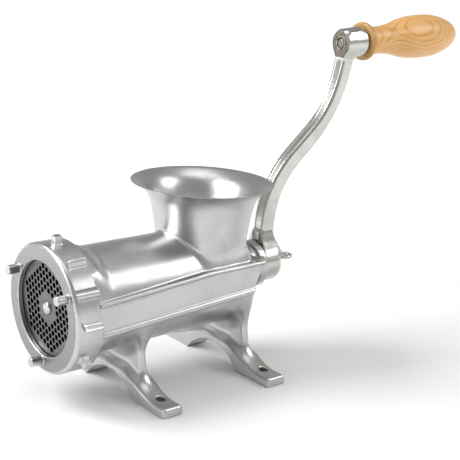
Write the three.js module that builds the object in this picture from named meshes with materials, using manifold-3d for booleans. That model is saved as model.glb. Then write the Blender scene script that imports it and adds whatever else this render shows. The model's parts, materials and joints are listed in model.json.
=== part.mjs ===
// Hand crank meat grinder of the bolt-down kind, as separate pieces.
// Millimetres, +Z up. +Y runs along the barrel from the cutting end to the crank.
// Origin: on the bench, midway between the feet and midway along the whole length.
import * as THREE from 'three';
import { mergeVertices } from 'three/addons/utils/BufferGeometryUtils.js';
import Module from 'manifold-3d';

const wasm = await Module();
wasm.setup();

// ---- Clearances -------------------------------------------------------------------------------
const FACE_GAP = 0.3;          // between faces that rest on each other
const RUN_GAP = 0.25;          // radial, a shaft or screw in its hole
const WORM_GAP = 1;            // radial, the worm's crest in the chamber
const OVERCUT = 2;             // how far a cutting body passes the face it cuts
const JOIN_OVERLAP = 1;        // how far shapes that are joined reach into each other

// ---- Driving dimensions: cutting set ----------------------------------------------------------
const PLATE_RADIUS = 49.2;
const PLATE_THICKNESS = 8;
const PLATE_HOLE_RADIUS = 2.45;
const PLATE_HOLE_PITCH = 6.54;
const PLATE_PATTERN_TURN = -20.4;  // degrees between the rows of holes and the bench
const PLATE_FIELD_INNER = 14;
const PLATE_FIELD_MARGIN = 1.5;  // between the holes and the ring's opening
const PLATE_BORE = 6.3;
const KNIFE_ARMS = 4;
const KNIFE_TURN = 45;         // degrees from upright to the first arm
const KNIFE_TIP_GAP = 3.2;     // the arm's tip inside the plate's edge
const KNIFE_ARM_WIDTH = 13;
const KNIFE_TIP_LEAD = 0.55;   // the tip's width on each side, as a share of the root's
const KNIFE_TIP_TRAIL = 0.7;
const KNIFE_THICKNESS = 10;
const KNIFE_HUB_RADIUS = 15;
const STUD_SQUARE = 14;
const STUD_DOME = 3;           // height of the pilot's rounded end
const STUD_PROUD = 3;          // how far the pilot stands out of the plate
const STUD_SEAT = 12;          // depth of the stud in the worm's nose
const KEY_RADIUS = 2.4;
const KEY_SEAT = 4;            // how far the key reaches into the barrel behind the plate

// ---- Barrel -----------------------------------------------------------------------------------
const AXIS_HEIGHT = 95;        // barrel axis above the bench
const PLATE_SEAT = 6.2;        // step that the plate rests against
const BARREL_WALL = 6.5;
const BODY_END = 207;          // where the rear wall starts to close
const MOUTH_SETBACK = 7;       // barrel mouth behind the ring's front face
const MOUTH_WALL = 3.55;       // around the plate, up to the thread
const COLLAR_STEP = 1.3;       // raised band right behind the ring
const COLLAR_LENGTH = 10;
const COLLAR_TAPER = 8;
const REAR_WALL = 18;          // length of the closing cone
const BOSS_LENGTH = 38;        // from the barrel's end to the boss's rear face
const BOSS_WALL = 4.7;
const BOSS_FLANGE_STEP = 4;
const BOSS_FLANGE = 9;         // width of the collar at the boss's end

// ---- Side panels ------------------------------------------------------------------------------
const PANEL_PROUD = 0.5;       // panel face outside the barrel's widest line
const PANEL_TOP = 13;          // above the axis at the front
const PANEL_BOTTOM = 21;       // below the axis at the front
const PANEL_RISE = 8.5;        // how far the panel edges climb to the rear
const PANEL_REAR_RAKE = 9;     // slope of the panel's rear edge
const BEAD_RADIUS = 1.6;       // rounded bead along the panel edges
const BEAD_SINK = 0.4;         // bead's centre line inside the panel face

// ---- Hopper -----------------------------------------------------------------------------------
const HOPPER_RADIUS = 70;      // rim, outside
const HOPPER_RISE = 95;        // rim above the barrel axis
const HOPPER_FROM_END = 30;    // rim centre before the barrel's end
const HOPPER_TILT = 2.6;       // degrees, rim lower at the rear
const THROAT_SHOULDER = 1;     // throat outside the chamber's side
const THROAT_HALF_Y = 36;
const THROAT_FROM_END = 35.5;
const THROAT_RISE = 35;        // the flare starts here, above the axis
const THROAT_SQUARENESS = 4.5; // exponent of the rounded section, 2 is round
const HOPPER_WALL = 6;
const RIM_WALL = 3.2;
const LIP_SHARE = 0.5;         // share of the flare that the lip takes, the rest is a plain funnel
const LIP_POWER = 8;           // how late the lip turns outwards
const LEVEL_CROWDING = 1.5;    // how much closer the levels stand near the rim
const HOPPER_LEVELS = 7;

// ---- Legs -------------------------------------------------------------------------------------
const FRONT_LEG_Y = 84;        // hole centres of the front pair
const REAR_LEG_FROM_END = 2;   // and of the rear pair, before the barrel's end
const HOLE_HALF_SPAN = 67;
const FOOT_HALF_SPAN = 89;
const HOLE_RADIUS = 4;
const PAD_LENGTH = 24;
const PAD_THICKNESS = 9;
const STRAP_WIDTH = 22;
const STRAP_DEPTH = 16;        // strap thickness over the arch
const STRAP_SWEEP = 4;         // height of the strap's inner curve over the pad
const ARCH_HALF_WIDTH = 42;
const ARCH_RISE = 20;
const WEB_THICKNESS = 8;
const WEB_TOE = 55;            // where the web's edge meets the pad
const WEB_HEAD = 37;           // where the web's edge meets the barrel
const WEB_WAIST = 3;           // how far the web's hollow edge stands outside its head
const WEB_ROOT = 8;            // how far the web's foot laps the strap

// ---- Retaining ring ---------------------------------------------------------------------------
const RING_COVER = 4.2;        // how far the lip laps the plate
const RING_LIP = 5;
const RING_LENGTH = 28;
const RING_WALL = 3.5;         // over the thread
const RING_BAND = 4.8;         // the ring's outside above its hollows
const RING_BEVEL = 3;          // at the front edge
const RING_RIM_WIDTH = 5;      // in front of the hollows
const HOLLOW_HALF_TURN = 33;   // degrees to each side of a peg
const HOLLOW_DEPTH = 5.3;      // below the ring's outside
const RIB_RADIUS = 3.8;        // half-round rib behind each peg
const PEG_COUNT = 3;
const PEG_ANGLE = 63;          // degrees from the top, clockwise seen from the front
const PEG_RADIUS = 4.5;
const PEG_INSET = 10.8;           // peg's centre inside the rim
const PEG_LENGTH = 12;
const LUG_TURN = 62;           // degrees from a peg to the next lug
const LUG_SIZE = 8;
const LUG_RISE = 8.7;          // above the rim
const LUG_SETBACK = 9;

// ---- Feed worm --------------------------------------------------------------------------------
const WORM_CORE_FRONT = 17;
const WORM_CORE_REAR = 13.5;
const WORM_TURNS = 3.25;
const FLIGHT_SHARE = 0.34;     // share of the pitch that the flight takes at its root
const FLANK_SHARE = 0.25;      // share of the flight that each sloping flank takes
const WORM_STEPS = 40;
const FLANGE_STEP = 12;        // flange above the journal
const WORM_FLANGE = 4;
const JOURNAL_RADIUS = 12;
const BUSH_WALL = 3;
const THRUST_WASHER = 2.5;
const TANG_SQUARE = 14;
const TANG_SETBACK = 3;        // tang's end inside the hub, so that the screw clamps the hub

// ---- Crank ------------------------------------------------------------------------------------
const CRANK_THROW = 217;       // barrel axis to handle axis
const CRANK_WASHER = 1.4;
const HUB_RADIUS = 20.5;
const HUB_LENGTH = 22;
const HUB_CHAMFER = 5.5;
const ROOT_BLOCK_HALF_X = 14;
const ROOT_BLOCK_TOP = 29;
const ROOT_BLOCK_CORNER = 6;
const ROOT_BLOCK_LENGTH = 16;
const ARM_OFFSET = 106;        // how far the handle end stands behind the hub
const ARM_HALF_X = 7.5;
const ARM_HALF_Y = 7.6;
const ARM_ROOT = 3;            // arm's front face behind the hub's front face
const ARM_LOWER_PULL = 110;    // how long the arm stays upright above the hub
const ARM_UPPER_PULL = 113;
const ARM_UPPER_LEAN = 21.6;   // how far that pull leans to the front
const TOP_BOSS_FRONT_RADIUS = 13.2;
const TOP_BOSS_REAR_RADIUS = 15.5;
const TOP_BOSS_LENGTH = 26;

// ---- Thumb screw ------------------------------------------------------------------------------
const SCREW_RADIUS = 4.7;
const SCREW_DEPTH = 14;
const SCREW_COLLAR_STEP = 2.3;
const SCREW_COLLAR = 5;
const SCREW_WASHER_LAP = 2.5;  // washer outside the collar
const SCREW_WASHER = 1.6;
const SCREW_NECK = 6;
const SCREW_NECK_FLARE = 2;    // length of the cone from the collar to the neck
const EYE_RADIUS = 6;          // centre line of the eye's bar
const EYE_BAR_RADIUS = 2;

// ---- Handle -----------------------------------------------------------------------------------
const GRIP_LENGTH = 135.3;
const GRIP_COLLAR_RADIUS = 19.9;
const GRIP_COLLAR = 5;
const GRIP_COLLAR_ROUND = 1.5;
const GRIP_NECK_RADIUS = 14.4;
const GRIP_BELLY_RADIUS = 23;
const GRIP_END_WALL = 1.25;
const GRIP_WASHER_RADIUS = 13;
const GRIP_WASHER = 1.6;
const SPINDLE_RADIUS = 5;
const SPINDLE_HEAD_STEP = 2.5;
const SPINDLE_HEAD = 3;
const SPINDLE_PEEN = 1;        // how far the front end stands out of the boss, and its chamfer
const HEAD_RECESS = 7;
const END_WASHER = 1.5;

// ---- Facets -----------------------------------------------------------------------------------
const BARREL_SIDES = 48;
const HOPPER_SIDES = 48;
const SHAFT_SIDES = 24;
const SCREW_SIDES = 12;
const HOLE_SIDES = 6;
const ARM_STEPS = 24;
const GRIP_STEPS = 16;

// ---- Sizes that follow ------------------------------------------------------------------------
const CHAMBER_RADIUS = PLATE_RADIUS - PLATE_SEAT;
const BARREL_RADIUS = CHAMBER_RADIUS + BARREL_WALL;
const WORM_RADIUS = CHAMBER_RADIUS - WORM_GAP;
const MOUTH_THREAD_RADIUS = PLATE_RADIUS + RUN_GAP + MOUTH_WALL;
const COLLAR_RADIUS = MOUTH_THREAD_RADIUS + COLLAR_STEP;
const RING_OPENING = PLATE_RADIUS - RING_COVER;
const RING_RIM_RADIUS = MOUTH_THREAD_RADIUS + RING_WALL + RING_BAND;
const HOLLOW_RADIUS = RING_RIM_RADIUS - HOLLOW_DEPTH;
const PEG_CIRCLE = RING_RIM_RADIUS - PEG_INSET;
const LUG_TOP = RING_RIM_RADIUS + LUG_RISE;
const PLATE_FIELD_OUTER = RING_OPENING - PLATE_FIELD_MARGIN;
const KNIFE_REACH = PLATE_RADIUS - KNIFE_TIP_GAP;
const PANEL_HALF_WIDTH = BARREL_RADIUS + PANEL_PROUD;
const THROAT_HALF_X = CHAMBER_RADIUS + THROAT_SHOULDER;
const THROAT_TOP = AXIS_HEIGHT + THROAT_RISE;
const THROAT_Y = BODY_END - THROAT_FROM_END;
const HOPPER_HEIGHT = AXIS_HEIGHT + HOPPER_RISE;
const HOPPER_Y = BODY_END - HOPPER_FROM_END;
const LEG_Y = [FRONT_LEG_Y, BODY_END - REAR_LEG_FROM_END];
const BUSH_RADIUS = JOURNAL_RADIUS + BUSH_WALL;
const BOSS_NECK_RADIUS = BUSH_RADIUS + FACE_GAP + BOSS_WALL;
const BOSS_RADIUS = BOSS_NECK_RADIUS + BOSS_FLANGE_STEP;
const WORM_FLANGE_RADIUS = JOURNAL_RADIUS + FLANGE_STEP;
const SCREW_COLLAR_RADIUS = SCREW_RADIUS + SCREW_COLLAR_STEP;
const SCREW_WASHER_RADIUS = SCREW_COLLAR_RADIUS + SCREW_WASHER_LAP;
const SPINDLE_HEAD_RADIUS = SPINDLE_RADIUS + SPINDLE_HEAD_STEP;
const GRIP_END_RADIUS = SPINDLE_HEAD_RADIUS + RUN_GAP + GRIP_END_WALL;

// ---- Places along the barrel, from the ring's front face -----------------------------------------
const PLATE_FRONT = RING_LIP + FACE_GAP;
const PLATE_BACK = PLATE_FRONT + PLATE_THICKNESS;
const KNIFE_FRONT = PLATE_BACK + FACE_GAP;
const KNIFE_BACK = KNIFE_FRONT + KNIFE_THICKNESS;
const WORM_FRONT = KNIFE_BACK + FACE_GAP;
const RING_END = RING_LENGTH + FACE_GAP;
const CHAMBER_BACK = BODY_END;
const BOSS_END = BODY_END + BOSS_LENGTH;
const THRUST_FRONT = CHAMBER_BACK - FACE_GAP - THRUST_WASHER;
const WORM_BACK = THRUST_FRONT - FACE_GAP;
const FLIGHT_BACK = WORM_BACK - WORM_FLANGE;
const HUB_FRONT = BOSS_END + CRANK_WASHER + 2 * FACE_GAP;
const HUB_BACK = HUB_FRONT + HUB_LENGTH;
const TANG_BACK = HUB_BACK - TANG_SETBACK;
const SCREW_WASHER_FRONT = HUB_BACK + FACE_GAP;
const SCREW_COLLAR_FRONT = SCREW_WASHER_FRONT + SCREW_WASHER + FACE_GAP;
const SCREW_COLLAR_BACK = SCREW_COLLAR_FRONT + SCREW_COLLAR;
const TOP_BOSS_FRONT = HUB_FRONT + ARM_OFFSET;
const TOP_BOSS_BACK = TOP_BOSS_FRONT + TOP_BOSS_LENGTH;
const GRIP_FRONT = TOP_BOSS_BACK + GRIP_WASHER + 2 * FACE_GAP;
const GRIP_BACK = GRIP_FRONT + GRIP_LENGTH;
const END_WASHER_FRONT = GRIP_BACK - HEAD_RECESS + FACE_GAP;
const SPINDLE_HEAD_FRONT = END_WASHER_FRONT + END_WASHER + FACE_GAP;
const LENGTH_CENTRE = (GRIP_BACK - PEG_LENGTH) / 2;
const HANDLE_HEIGHT = AXIS_HEIGHT + CRANK_THROW;

// ---- Finishes ---------------------------------------------------------------------------------
const FINISHES = {
  tinnedCasting: new THREE.MeshStandardMaterial({ color: 0xc9c9c7, roughness: 0.34, metalness: 1 }),
  tinnedCrank: new THREE.MeshStandardMaterial({ color: 0xc4c3b8, roughness: 0.36, metalness: 1 }),
  plateSteel: new THREE.MeshStandardMaterial({ color: 0x74757a, roughness: 0.42, metalness: 1 }),
  knifeSteel: new THREE.MeshStandardMaterial({ color: 0x9a9a9c, roughness: 0.3, metalness: 1 }),
  spindleSteel: new THREE.MeshStandardMaterial({ color: 0x6f6a63, roughness: 0.5, metalness: 1 }),
  bushBronze: new THREE.MeshStandardMaterial({ color: 0xa5793f, roughness: 0.4, metalness: 1 }),
  washerFibre: new THREE.MeshStandardMaterial({ color: 0x1d1b1a, roughness: 0.8, metalness: 0 }),
  turnedWood: new THREE.MeshStandardMaterial({ color: 0xe0b070, roughness: 0.4, metalness: 0 }),
};

// ---- Solids -----------------------------------------------------------------------------------

// Turns a closed three.js geometry into a manifold solid with its faces pointing out.
function solid(geometry) {
  const bare = geometry.clone();
  for (const name of ['normal', 'uv']) {
    bare.deleteAttribute(name);
  }
  const merged = mergeVertices(bare, 1e-4);
  const positions = merged.attributes.position.array;
  const source = merged.index.array;
  const corner = [new THREE.Vector3(), new THREE.Vector3(), new THREE.Vector3()];
  const triangles = [];
  let volume = 0;
  for (let i = 0; i < source.length; i += 3) {
    const [a, b, c] = [source[i], source[i + 1], source[i + 2]];
    if (a === b || b === c || c === a) {
      continue;
    }
    triangles.push(a, b, c);
    [a, b, c].forEach((index, k) => corner[k].fromArray(positions, index * 3));
    volume += corner[0].dot(corner[1].clone().cross(corner[2]));
  }
  if (volume < 0) {
    for (let i = 0; i < triangles.length; i += 3) {
      [triangles[i], triangles[i + 1]] = [triangles[i + 1], triangles[i]];
    }
  }
  return new wasm.Manifold(new wasm.Mesh({
    numProp: 3,
    vertProperties: Float32Array.from(positions),
    triVerts: Uint32Array.from(triangles),
  }));
}

// Gives a manifold solid back as a three.js geometry.
function geometryOf(shape) {
  const mesh = shape.getMesh();
  const geometry = new THREE.BufferGeometry();
  geometry.setAttribute('position', new THREE.BufferAttribute(mesh.vertProperties, 3));
  geometry.setIndex(new THREE.BufferAttribute(mesh.triVerts, 1));
  geometry.computeVertexNormals();
  return geometry;
}

function join(shapes) {
  return shapes.reduce((whole, next) => whole.add(next));
}

function cut(shape, cutters) {
  return cutters.reduce((rest, cutter) => rest.subtract(cutter), shape);
}

// A body turned about the barrel's direction. The outline lists [radius, y] pairs.
function turned(outline, sides, x = 0, z = 0) {
  const points = outline.map(([radius, y]) => new THREE.Vector2(radius, y));
  const geometry = new THREE.LatheGeometry(points, sides);
  return solid(geometry.translate(x, 0, z));
}

// A round bar or hole along the barrel's direction.
function rod(radius, from, to, sides, x = 0, z = 0) {
  return turned([[0, from], [radius, from], [radius, to], [0, to]], sides, x, z);
}

// A tube along the barrel's direction.
function tube(outer, inner, from, to, sides, z = 0) {
  const outline = [[inner, from], [outer, from], [outer, to], [inner, to], [inner, from]];
  return turned(outline, sides, 0, z);
}

// A flat outline drawn in X and Z, thickened along Y between two places.
function slabAcross(outline, from, to, curveSegments = 8) {
  const geometry = new THREE.ExtrudeGeometry(outline, {
    depth: to - from, bevelEnabled: false, curveSegments,
  });
  return solid(geometry.rotateX(Math.PI / 2).translate(0, to, 0));
}

function polygon(points) {
  return new THREE.Shape(points.map(([x, y]) => new THREE.Vector2(x, y)));
}

function squareShape(size) {
  const half = size / 2;
  return polygon([[-half, -half], [half, -half], [half, half], [-half, half]]);
}

function squareBar(size, from, to) {
  return slabAcross(squareShape(size), from, to);
}

function radians(degrees) {
  return THREE.MathUtils.degToRad(degrees);
}

// ---- Body casting -----------------------------------------------------------------------------

// One level of the hopper: half widths, centre, squareness and how far the rim's tilt has come in.
function hopperLevel(height, wall) {
  const share = Math.max(0, (height - THROAT_TOP) / (HOPPER_HEIGHT - THROAT_TOP));
  const flare = THREE.MathUtils.lerp(share, share ** LIP_POWER, LIP_SHARE);
  const inset = wall ? THREE.MathUtils.lerp(HOPPER_WALL, RIM_WALL, share) : 0;
  return {
    height,
    halfX: THREE.MathUtils.lerp(THROAT_HALF_X, HOPPER_RADIUS, flare) - inset,
    halfY: THREE.MathUtils.lerp(THROAT_HALF_Y, HOPPER_RADIUS, flare) - inset,
    centreY: THREE.MathUtils.lerp(THROAT_Y, HOPPER_Y, share),
    squareness: THREE.MathUtils.lerp(THROAT_SQUARENESS, 2, Math.sqrt(share)),
    slope: -Math.tan(radians(HOPPER_TILT)) * share,
  };
}

// A turned form whose levels pass from a rounded square at the throat to a circle at the rim.
function hopperForm(heights, wall) {
  const levels = heights.map((height) => hopperLevel(height, wall));
  const last = levels.length - 1;
  const outline = levels.map((level, i) => new THREE.Vector2(1, i));
  outline.unshift(new THREE.Vector2(0, 0));
  outline.push(new THREE.Vector2(0, last));
  const geometry = new THREE.LatheGeometry(outline, HOPPER_SIDES);
  const position = geometry.attributes.position;
  for (let i = 0; i < position.count; i += 1) {
    const level = levels[Math.round(position.getY(i))];
    const alongX = position.getX(i);
    const alongY = position.getZ(i);
    const power = level.squareness;
    const stretch = (Math.abs(alongX) ** power + Math.abs(alongY) ** power) ** (-1 / power);
    const onAxis = Math.hypot(alongX, alongY) < 0.5;
    const x = onAxis ? 0 : alongX * stretch * level.halfX;
    const y = onAxis ? 0 : alongY * stretch * level.halfY;
    position.setXYZ(i, x, level.centreY + y, level.height + y * level.slope);
  }
  return solid(geometry);
}

function hopperHeights(from) {
  const flared = Array.from({ length: HOPPER_LEVELS + 1 }, (_, i) => {
    const below = (1 - i / HOPPER_LEVELS) ** LEVEL_CROWDING;
    return THREE.MathUtils.lerp(HOPPER_HEIGHT, THROAT_TOP, below);
  });
  return [from, ...flared];
}

// The outline of one leg pair's strap: two pads and the shallow arch between them.
function strapOutline() {
  const outline = new THREE.Shape();
  const shoulder = FOOT_HALF_SPAN - PAD_LENGTH;
  const bend = WEB_TOE - PAD_LENGTH / 2;
  const crown = ARCH_RISE + STRAP_DEPTH;
  outline.moveTo(FOOT_HALF_SPAN, 0);
  outline.lineTo(FOOT_HALF_SPAN, PAD_THICKNESS);
  outline.lineTo(shoulder, PAD_THICKNESS);
  outline.quadraticCurveTo(bend, PAD_THICKNESS + STRAP_SWEEP, 0, crown);
  outline.quadraticCurveTo(-bend, PAD_THICKNESS + STRAP_SWEEP, -shoulder, PAD_THICKNESS);
  outline.lineTo(-FOOT_HALF_SPAN, PAD_THICKNESS);
  outline.lineTo(-FOOT_HALF_SPAN, 0);
  outline.lineTo(-ARCH_HALF_WIDTH, 0);
  const radius = (ARCH_HALF_WIDTH ** 2 + ARCH_RISE ** 2) / (2 * ARCH_RISE);
  const centre = ARCH_RISE - radius;
  const start = Math.atan2(-centre, -ARCH_HALF_WIDTH);
  const end = Math.atan2(-centre, ARCH_HALF_WIDTH);
  outline.absarc(0, centre, radius, start, end, true);
  return outline;
}

// The upright web between the strap and the barrel, with its hollow outer edges.
function webOutline() {
  const outline = new THREE.Shape();
  const head = AXIS_HEIGHT - PANEL_BOTTOM;
  const sole = PAD_THICKNESS - JOIN_OVERLAP;
  const waist = WEB_HEAD + WEB_WAIST;
  const bend = ARCH_RISE + WEB_ROOT - 2 * JOIN_OVERLAP;
  outline.moveTo(WEB_TOE, sole);
  outline.quadraticCurveTo(waist, bend, WEB_HEAD, head);
  outline.lineTo(-WEB_HEAD, head);
  outline.quadraticCurveTo(-waist, bend, -WEB_TOE, sole);
  outline.lineTo(-ARCH_HALF_WIDTH + WEB_ROOT, sole);
  outline.lineTo(0, ARCH_RISE + WEB_ROOT);
  outline.lineTo(ARCH_HALF_WIDTH - WEB_ROOT, sole);
  return outline;
}

function legPair(holeY) {
  const strap = slabAcross(strapOutline(), holeY - STRAP_WIDTH / 2, holeY + STRAP_WIDTH / 2);
  const web = slabAcross(webOutline(), holeY - WEB_THICKNESS / 2, holeY + WEB_THICKNESS / 2);
  return strap.add(web);
}

function boltHole(side, holeY) {
  const geometry = new THREE.CylinderGeometry(
    HOLE_RADIUS, HOLE_RADIUS, PAD_THICKNESS + 2 * OVERCUT, SCREW_SIDES,
  );
  geometry.rotateX(Math.PI / 2).translate(side * HOLE_HALF_SPAN, holeY, PAD_THICKNESS / 2);
  return solid(geometry);
}

// The flat-sided block that carries the two side panels.
function panelBlock() {
  const front = RING_END + COLLAR_LENGTH / 2;
  const rear = BODY_END + PANEL_REAR_RAKE;
  const outline = polygon([
    [front, AXIS_HEIGHT - PANEL_BOTTOM],
    [BODY_END, AXIS_HEIGHT - PANEL_BOTTOM + PANEL_RISE],
    [rear, AXIS_HEIGHT + PANEL_TOP],
    [rear - PANEL_REAR_RAKE, AXIS_HEIGHT + PANEL_TOP + PANEL_RISE],
    [front, AXIS_HEIGHT + PANEL_TOP],
  ]);
  const geometry = new THREE.ExtrudeGeometry(outline, {
    depth: 2 * PANEL_HALF_WIDTH, bevelEnabled: false,
  });
  const turn = new THREE.Matrix4().makeBasis(
    new THREE.Vector3(0, 1, 0), new THREE.Vector3(0, 0, 1), new THREE.Vector3(1, 0, 0),
  );
  return solid(geometry.applyMatrix4(turn).translate(-PANEL_HALF_WIDTH, 0, 0));
}

// A raised bead along a panel edge, at a height above the axis.
function panelBead(side, height) {
  const front = RING_END + COLLAR_LENGTH;
  const length = BODY_END - front;
  const geometry = new THREE.CylinderGeometry(BEAD_RADIUS, BEAD_RADIUS, length, SCREW_SIDES);
  geometry.rotateX(Math.atan2(PANEL_RISE, length));
  const middle = AXIS_HEIGHT + height + PANEL_RISE / 2;
  geometry.translate(side * (PANEL_HALF_WIDTH - BEAD_SINK), front + length / 2, middle);
  return solid(geometry);
}

function bodyCasting() {
  const barrel = turned([
    [0, MOUTH_SETBACK],
    [MOUTH_THREAD_RADIUS, MOUTH_SETBACK],
    [MOUTH_THREAD_RADIUS, RING_END],
    [COLLAR_RADIUS, RING_END],
    [COLLAR_RADIUS, RING_END + COLLAR_LENGTH],
    [BARREL_RADIUS, RING_END + COLLAR_LENGTH + COLLAR_TAPER],
    [BARREL_RADIUS, BODY_END],
    [BOSS_NECK_RADIUS, BODY_END + REAR_WALL],
    [BOSS_NECK_RADIUS, BOSS_END - BOSS_FLANGE],
    [BOSS_RADIUS, BOSS_END - BOSS_FLANGE],
    [BOSS_RADIUS, BOSS_END],
    [0, BOSS_END],
  ], BARREL_SIDES, 0, AXIS_HEIGHT);
  const beads = [];
  for (const side of [-1, 1]) {
    beads.push(panelBead(side, PANEL_TOP - BEAD_RADIUS));
    beads.push(panelBead(side, BEAD_RADIUS - PANEL_BOTTOM));
  }
  const casting = join([
    barrel,
    panelBlock(),
    ...beads,
    ...LEG_Y.map(legPair),
    hopperForm(hopperHeights(AXIS_HEIGHT), false),
  ]);
  const throatFloor = AXIS_HEIGHT + CHAMBER_RADIUS / 2;
  const cutters = [
    hopperForm([...hopperHeights(throatFloor), HOPPER_HEIGHT + OVERCUT], true),
    turned([
      [0, WORM_FRONT],
      [CHAMBER_RADIUS, WORM_FRONT],
      [CHAMBER_RADIUS, FLIGHT_BACK + FACE_GAP],
      [WORM_FLANGE_RADIUS + 3 * WORM_GAP, CHAMBER_BACK],
      [0, CHAMBER_BACK],
    ], BARREL_SIDES, 0, AXIS_HEIGHT),
    rod(PLATE_RADIUS + RUN_GAP, MOUTH_SETBACK - OVERCUT, WORM_FRONT + OVERCUT, BARREL_SIDES,
      0, AXIS_HEIGHT),
    rod(BUSH_RADIUS + FACE_GAP, CHAMBER_BACK - OVERCUT, BOSS_END + OVERCUT, SHAFT_SIDES,
      0, AXIS_HEIGHT),
    keyPin(FACE_GAP),
  ];
  for (const side of [-1, 1]) {
    for (const holeY of LEG_Y) {
      cutters.push(boltHole(side, holeY));
    }
  }
  return cut(casting, cutters);
}

// The small pin in the barrel mouth that stops the plate from turning.
function keyPin(grow) {
  const from = PLATE_FRONT + JOIN_OVERLAP - grow;
  const to = PLATE_BACK + KEY_SEAT + grow;
  return rod(KEY_RADIUS + grow, from, to, SCREW_SIDES, 0, AXIS_HEIGHT - PLATE_RADIUS);
}

function rearBush() {
  return tube(BUSH_RADIUS, JOURNAL_RADIUS + RUN_GAP, CHAMBER_BACK, BOSS_END, SHAFT_SIDES,
    AXIS_HEIGHT);
}

function thrustWasher() {
  return tube(WORM_FLANGE_RADIUS, JOURNAL_RADIUS + RUN_GAP, THRUST_FRONT,
    THRUST_FRONT + THRUST_WASHER, SHAFT_SIDES, AXIS_HEIGHT);
}

// ---- Retaining ring ---------------------------------------------------------------------------

// A place on the ring at an angle from the top, clockwise seen from the front.
function aroundRing(degrees, radius) {
  const angle = radians(degrees);
  return { x: radius * Math.sin(angle), z: AXIS_HEIGHT + radius * Math.cos(angle), angle };
}

function ringPeg(degrees) {
  const place = aroundRing(degrees, PEG_CIRCLE);
  return rod(PEG_RADIUS, -PEG_LENGTH, RING_LIP - JOIN_OVERLAP, SCREW_SIDES, place.x, place.z);
}

function ringLug(degrees) {
  const foot = RING_RIM_RADIUS - 2 * JOIN_OVERLAP;
  const height = LUG_TOP - foot;
  const place = aroundRing(degrees, (LUG_TOP + foot) / 2);
  const geometry = new THREE.BoxGeometry(LUG_SIZE, LUG_SIZE, height);
  geometry.rotateY(place.angle);
  geometry.translate(place.x, LUG_SETBACK + LUG_SIZE / 2, place.z);
  return solid(geometry);
}

// A hollow in the ring's outside, reaching to both sides of a peg and open at the ring's rear.
function ringHollow(degrees) {
  const half = radians(HOLLOW_HALF_TURN);
  const middle = Math.PI / 2 - radians(degrees);
  const outline = new THREE.Shape();
  outline.absarc(0, 0, RING_RIM_RADIUS + JOIN_OVERLAP, middle - half, middle + half, false);
  outline.absarc(0, 0, HOLLOW_RADIUS, middle + half, middle - half, true);
  const geometry = new THREE.ExtrudeGeometry(outline, {
    depth: RING_LENGTH, curveSegments: BARREL_SIDES / 4, bevelEnabled: false,
  });
  geometry.rotateX(Math.PI / 2);
  geometry.translate(0, RING_RIM_WIDTH + RING_LENGTH, AXIS_HEIGHT);
  return solid(geometry);
}

function ringRib(degrees) {
  const place = aroundRing(degrees, RING_RIM_RADIUS - RIB_RADIUS);
  return rod(RIB_RADIUS, RING_BEVEL, RING_LENGTH, SCREW_SIDES, place.x, place.z);
}

function retainingRing() {
  const threadRadius = MOUTH_THREAD_RADIUS + RUN_GAP;
  const band = turned([
    [RING_OPENING, 0],
    [RING_RIM_RADIUS - RING_BEVEL, 0],
    [RING_RIM_RADIUS, RING_BEVEL],
    [RING_RIM_RADIUS, RING_LENGTH],
    [threadRadius, RING_LENGTH],
    [threadRadius, RING_LIP],
    [RING_OPENING, RING_LIP],
    [RING_OPENING, 0],
  ], BARREL_SIDES, 0, AXIS_HEIGHT);
  const hollows = [];
  const fittings = [];
  for (let i = 0; i < PEG_COUNT; i += 1) {
    const angle = PEG_ANGLE + i * (360 / PEG_COUNT);
    hollows.push(ringHollow(angle));
    fittings.push(ringPeg(angle), ringRib(angle), ringLug(angle + LUG_TURN));
  }
  return join([cut(band, hollows), ...fittings]);
}

// ---- Cutting set ------------------------------------------------------------------------------

function hexagon(x, z, radius) {
  const hole = new THREE.Path();
  for (let i = 0; i < HOLE_SIDES; i += 1) {
    const angle = (i / HOLE_SIDES) * 2 * Math.PI;
    const point = [x + radius * Math.cos(angle), z + radius * Math.sin(angle)];
    if (i === 0) {
      hole.moveTo(...point);
    } else {
      hole.lineTo(...point);
    }
  }
  hole.closePath();
  return hole;
}

// Six-sided rings of holes round a plain hub. Every hole sits a whole number of pitches along two
// rows that cross at 60 degrees.
function plateHoles() {
  const solidRings = Math.floor(PLATE_FIELD_INNER / PLATE_HOLE_PITCH);
  const rings = Math.floor(PLATE_FIELD_OUTER / PLATE_HOLE_PITCH);
  const turn = THREE.MathUtils.degToRad(PLATE_PATTERN_TURN);
  const holes = [];
  for (let along = -rings; along <= rings; along += 1) {
    for (let across = -rings; across <= rings; across += 1) {
      const ring = Math.max(Math.abs(along), Math.abs(across), Math.abs(along + across));
      if (ring > solidRings && ring <= rings) {
        const x = along * Math.cos(turn) + across * Math.cos(turn + Math.PI / 3);
        const z = along * Math.sin(turn) + across * Math.sin(turn + Math.PI / 3);
        holes.push(hexagon(x * PLATE_HOLE_PITCH, z * PLATE_HOLE_PITCH, PLATE_HOLE_RADIUS));
      }
    }
  }
  return holes;
}

function cuttingPlate() {
  const outline = new THREE.Shape();
  outline.absarc(0, 0, PLATE_RADIUS, 0, 2 * Math.PI);
  const bore = new THREE.Path();
  bore.absarc(0, 0, PLATE_BORE, 0, 2 * Math.PI);
  outline.holes = [bore, ...plateHoles()];
  const disc = slabAcross(outline, PLATE_FRONT, PLATE_BACK, 10).translate([0, 0, AXIS_HEIGHT]);
  return disc.subtract(rod(KEY_RADIUS + RUN_GAP, PLATE_FRONT - OVERCUT, PLATE_BACK + OVERCUT,
    SCREW_SIDES, 0, AXIS_HEIGHT - PLATE_RADIUS));
}

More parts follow.
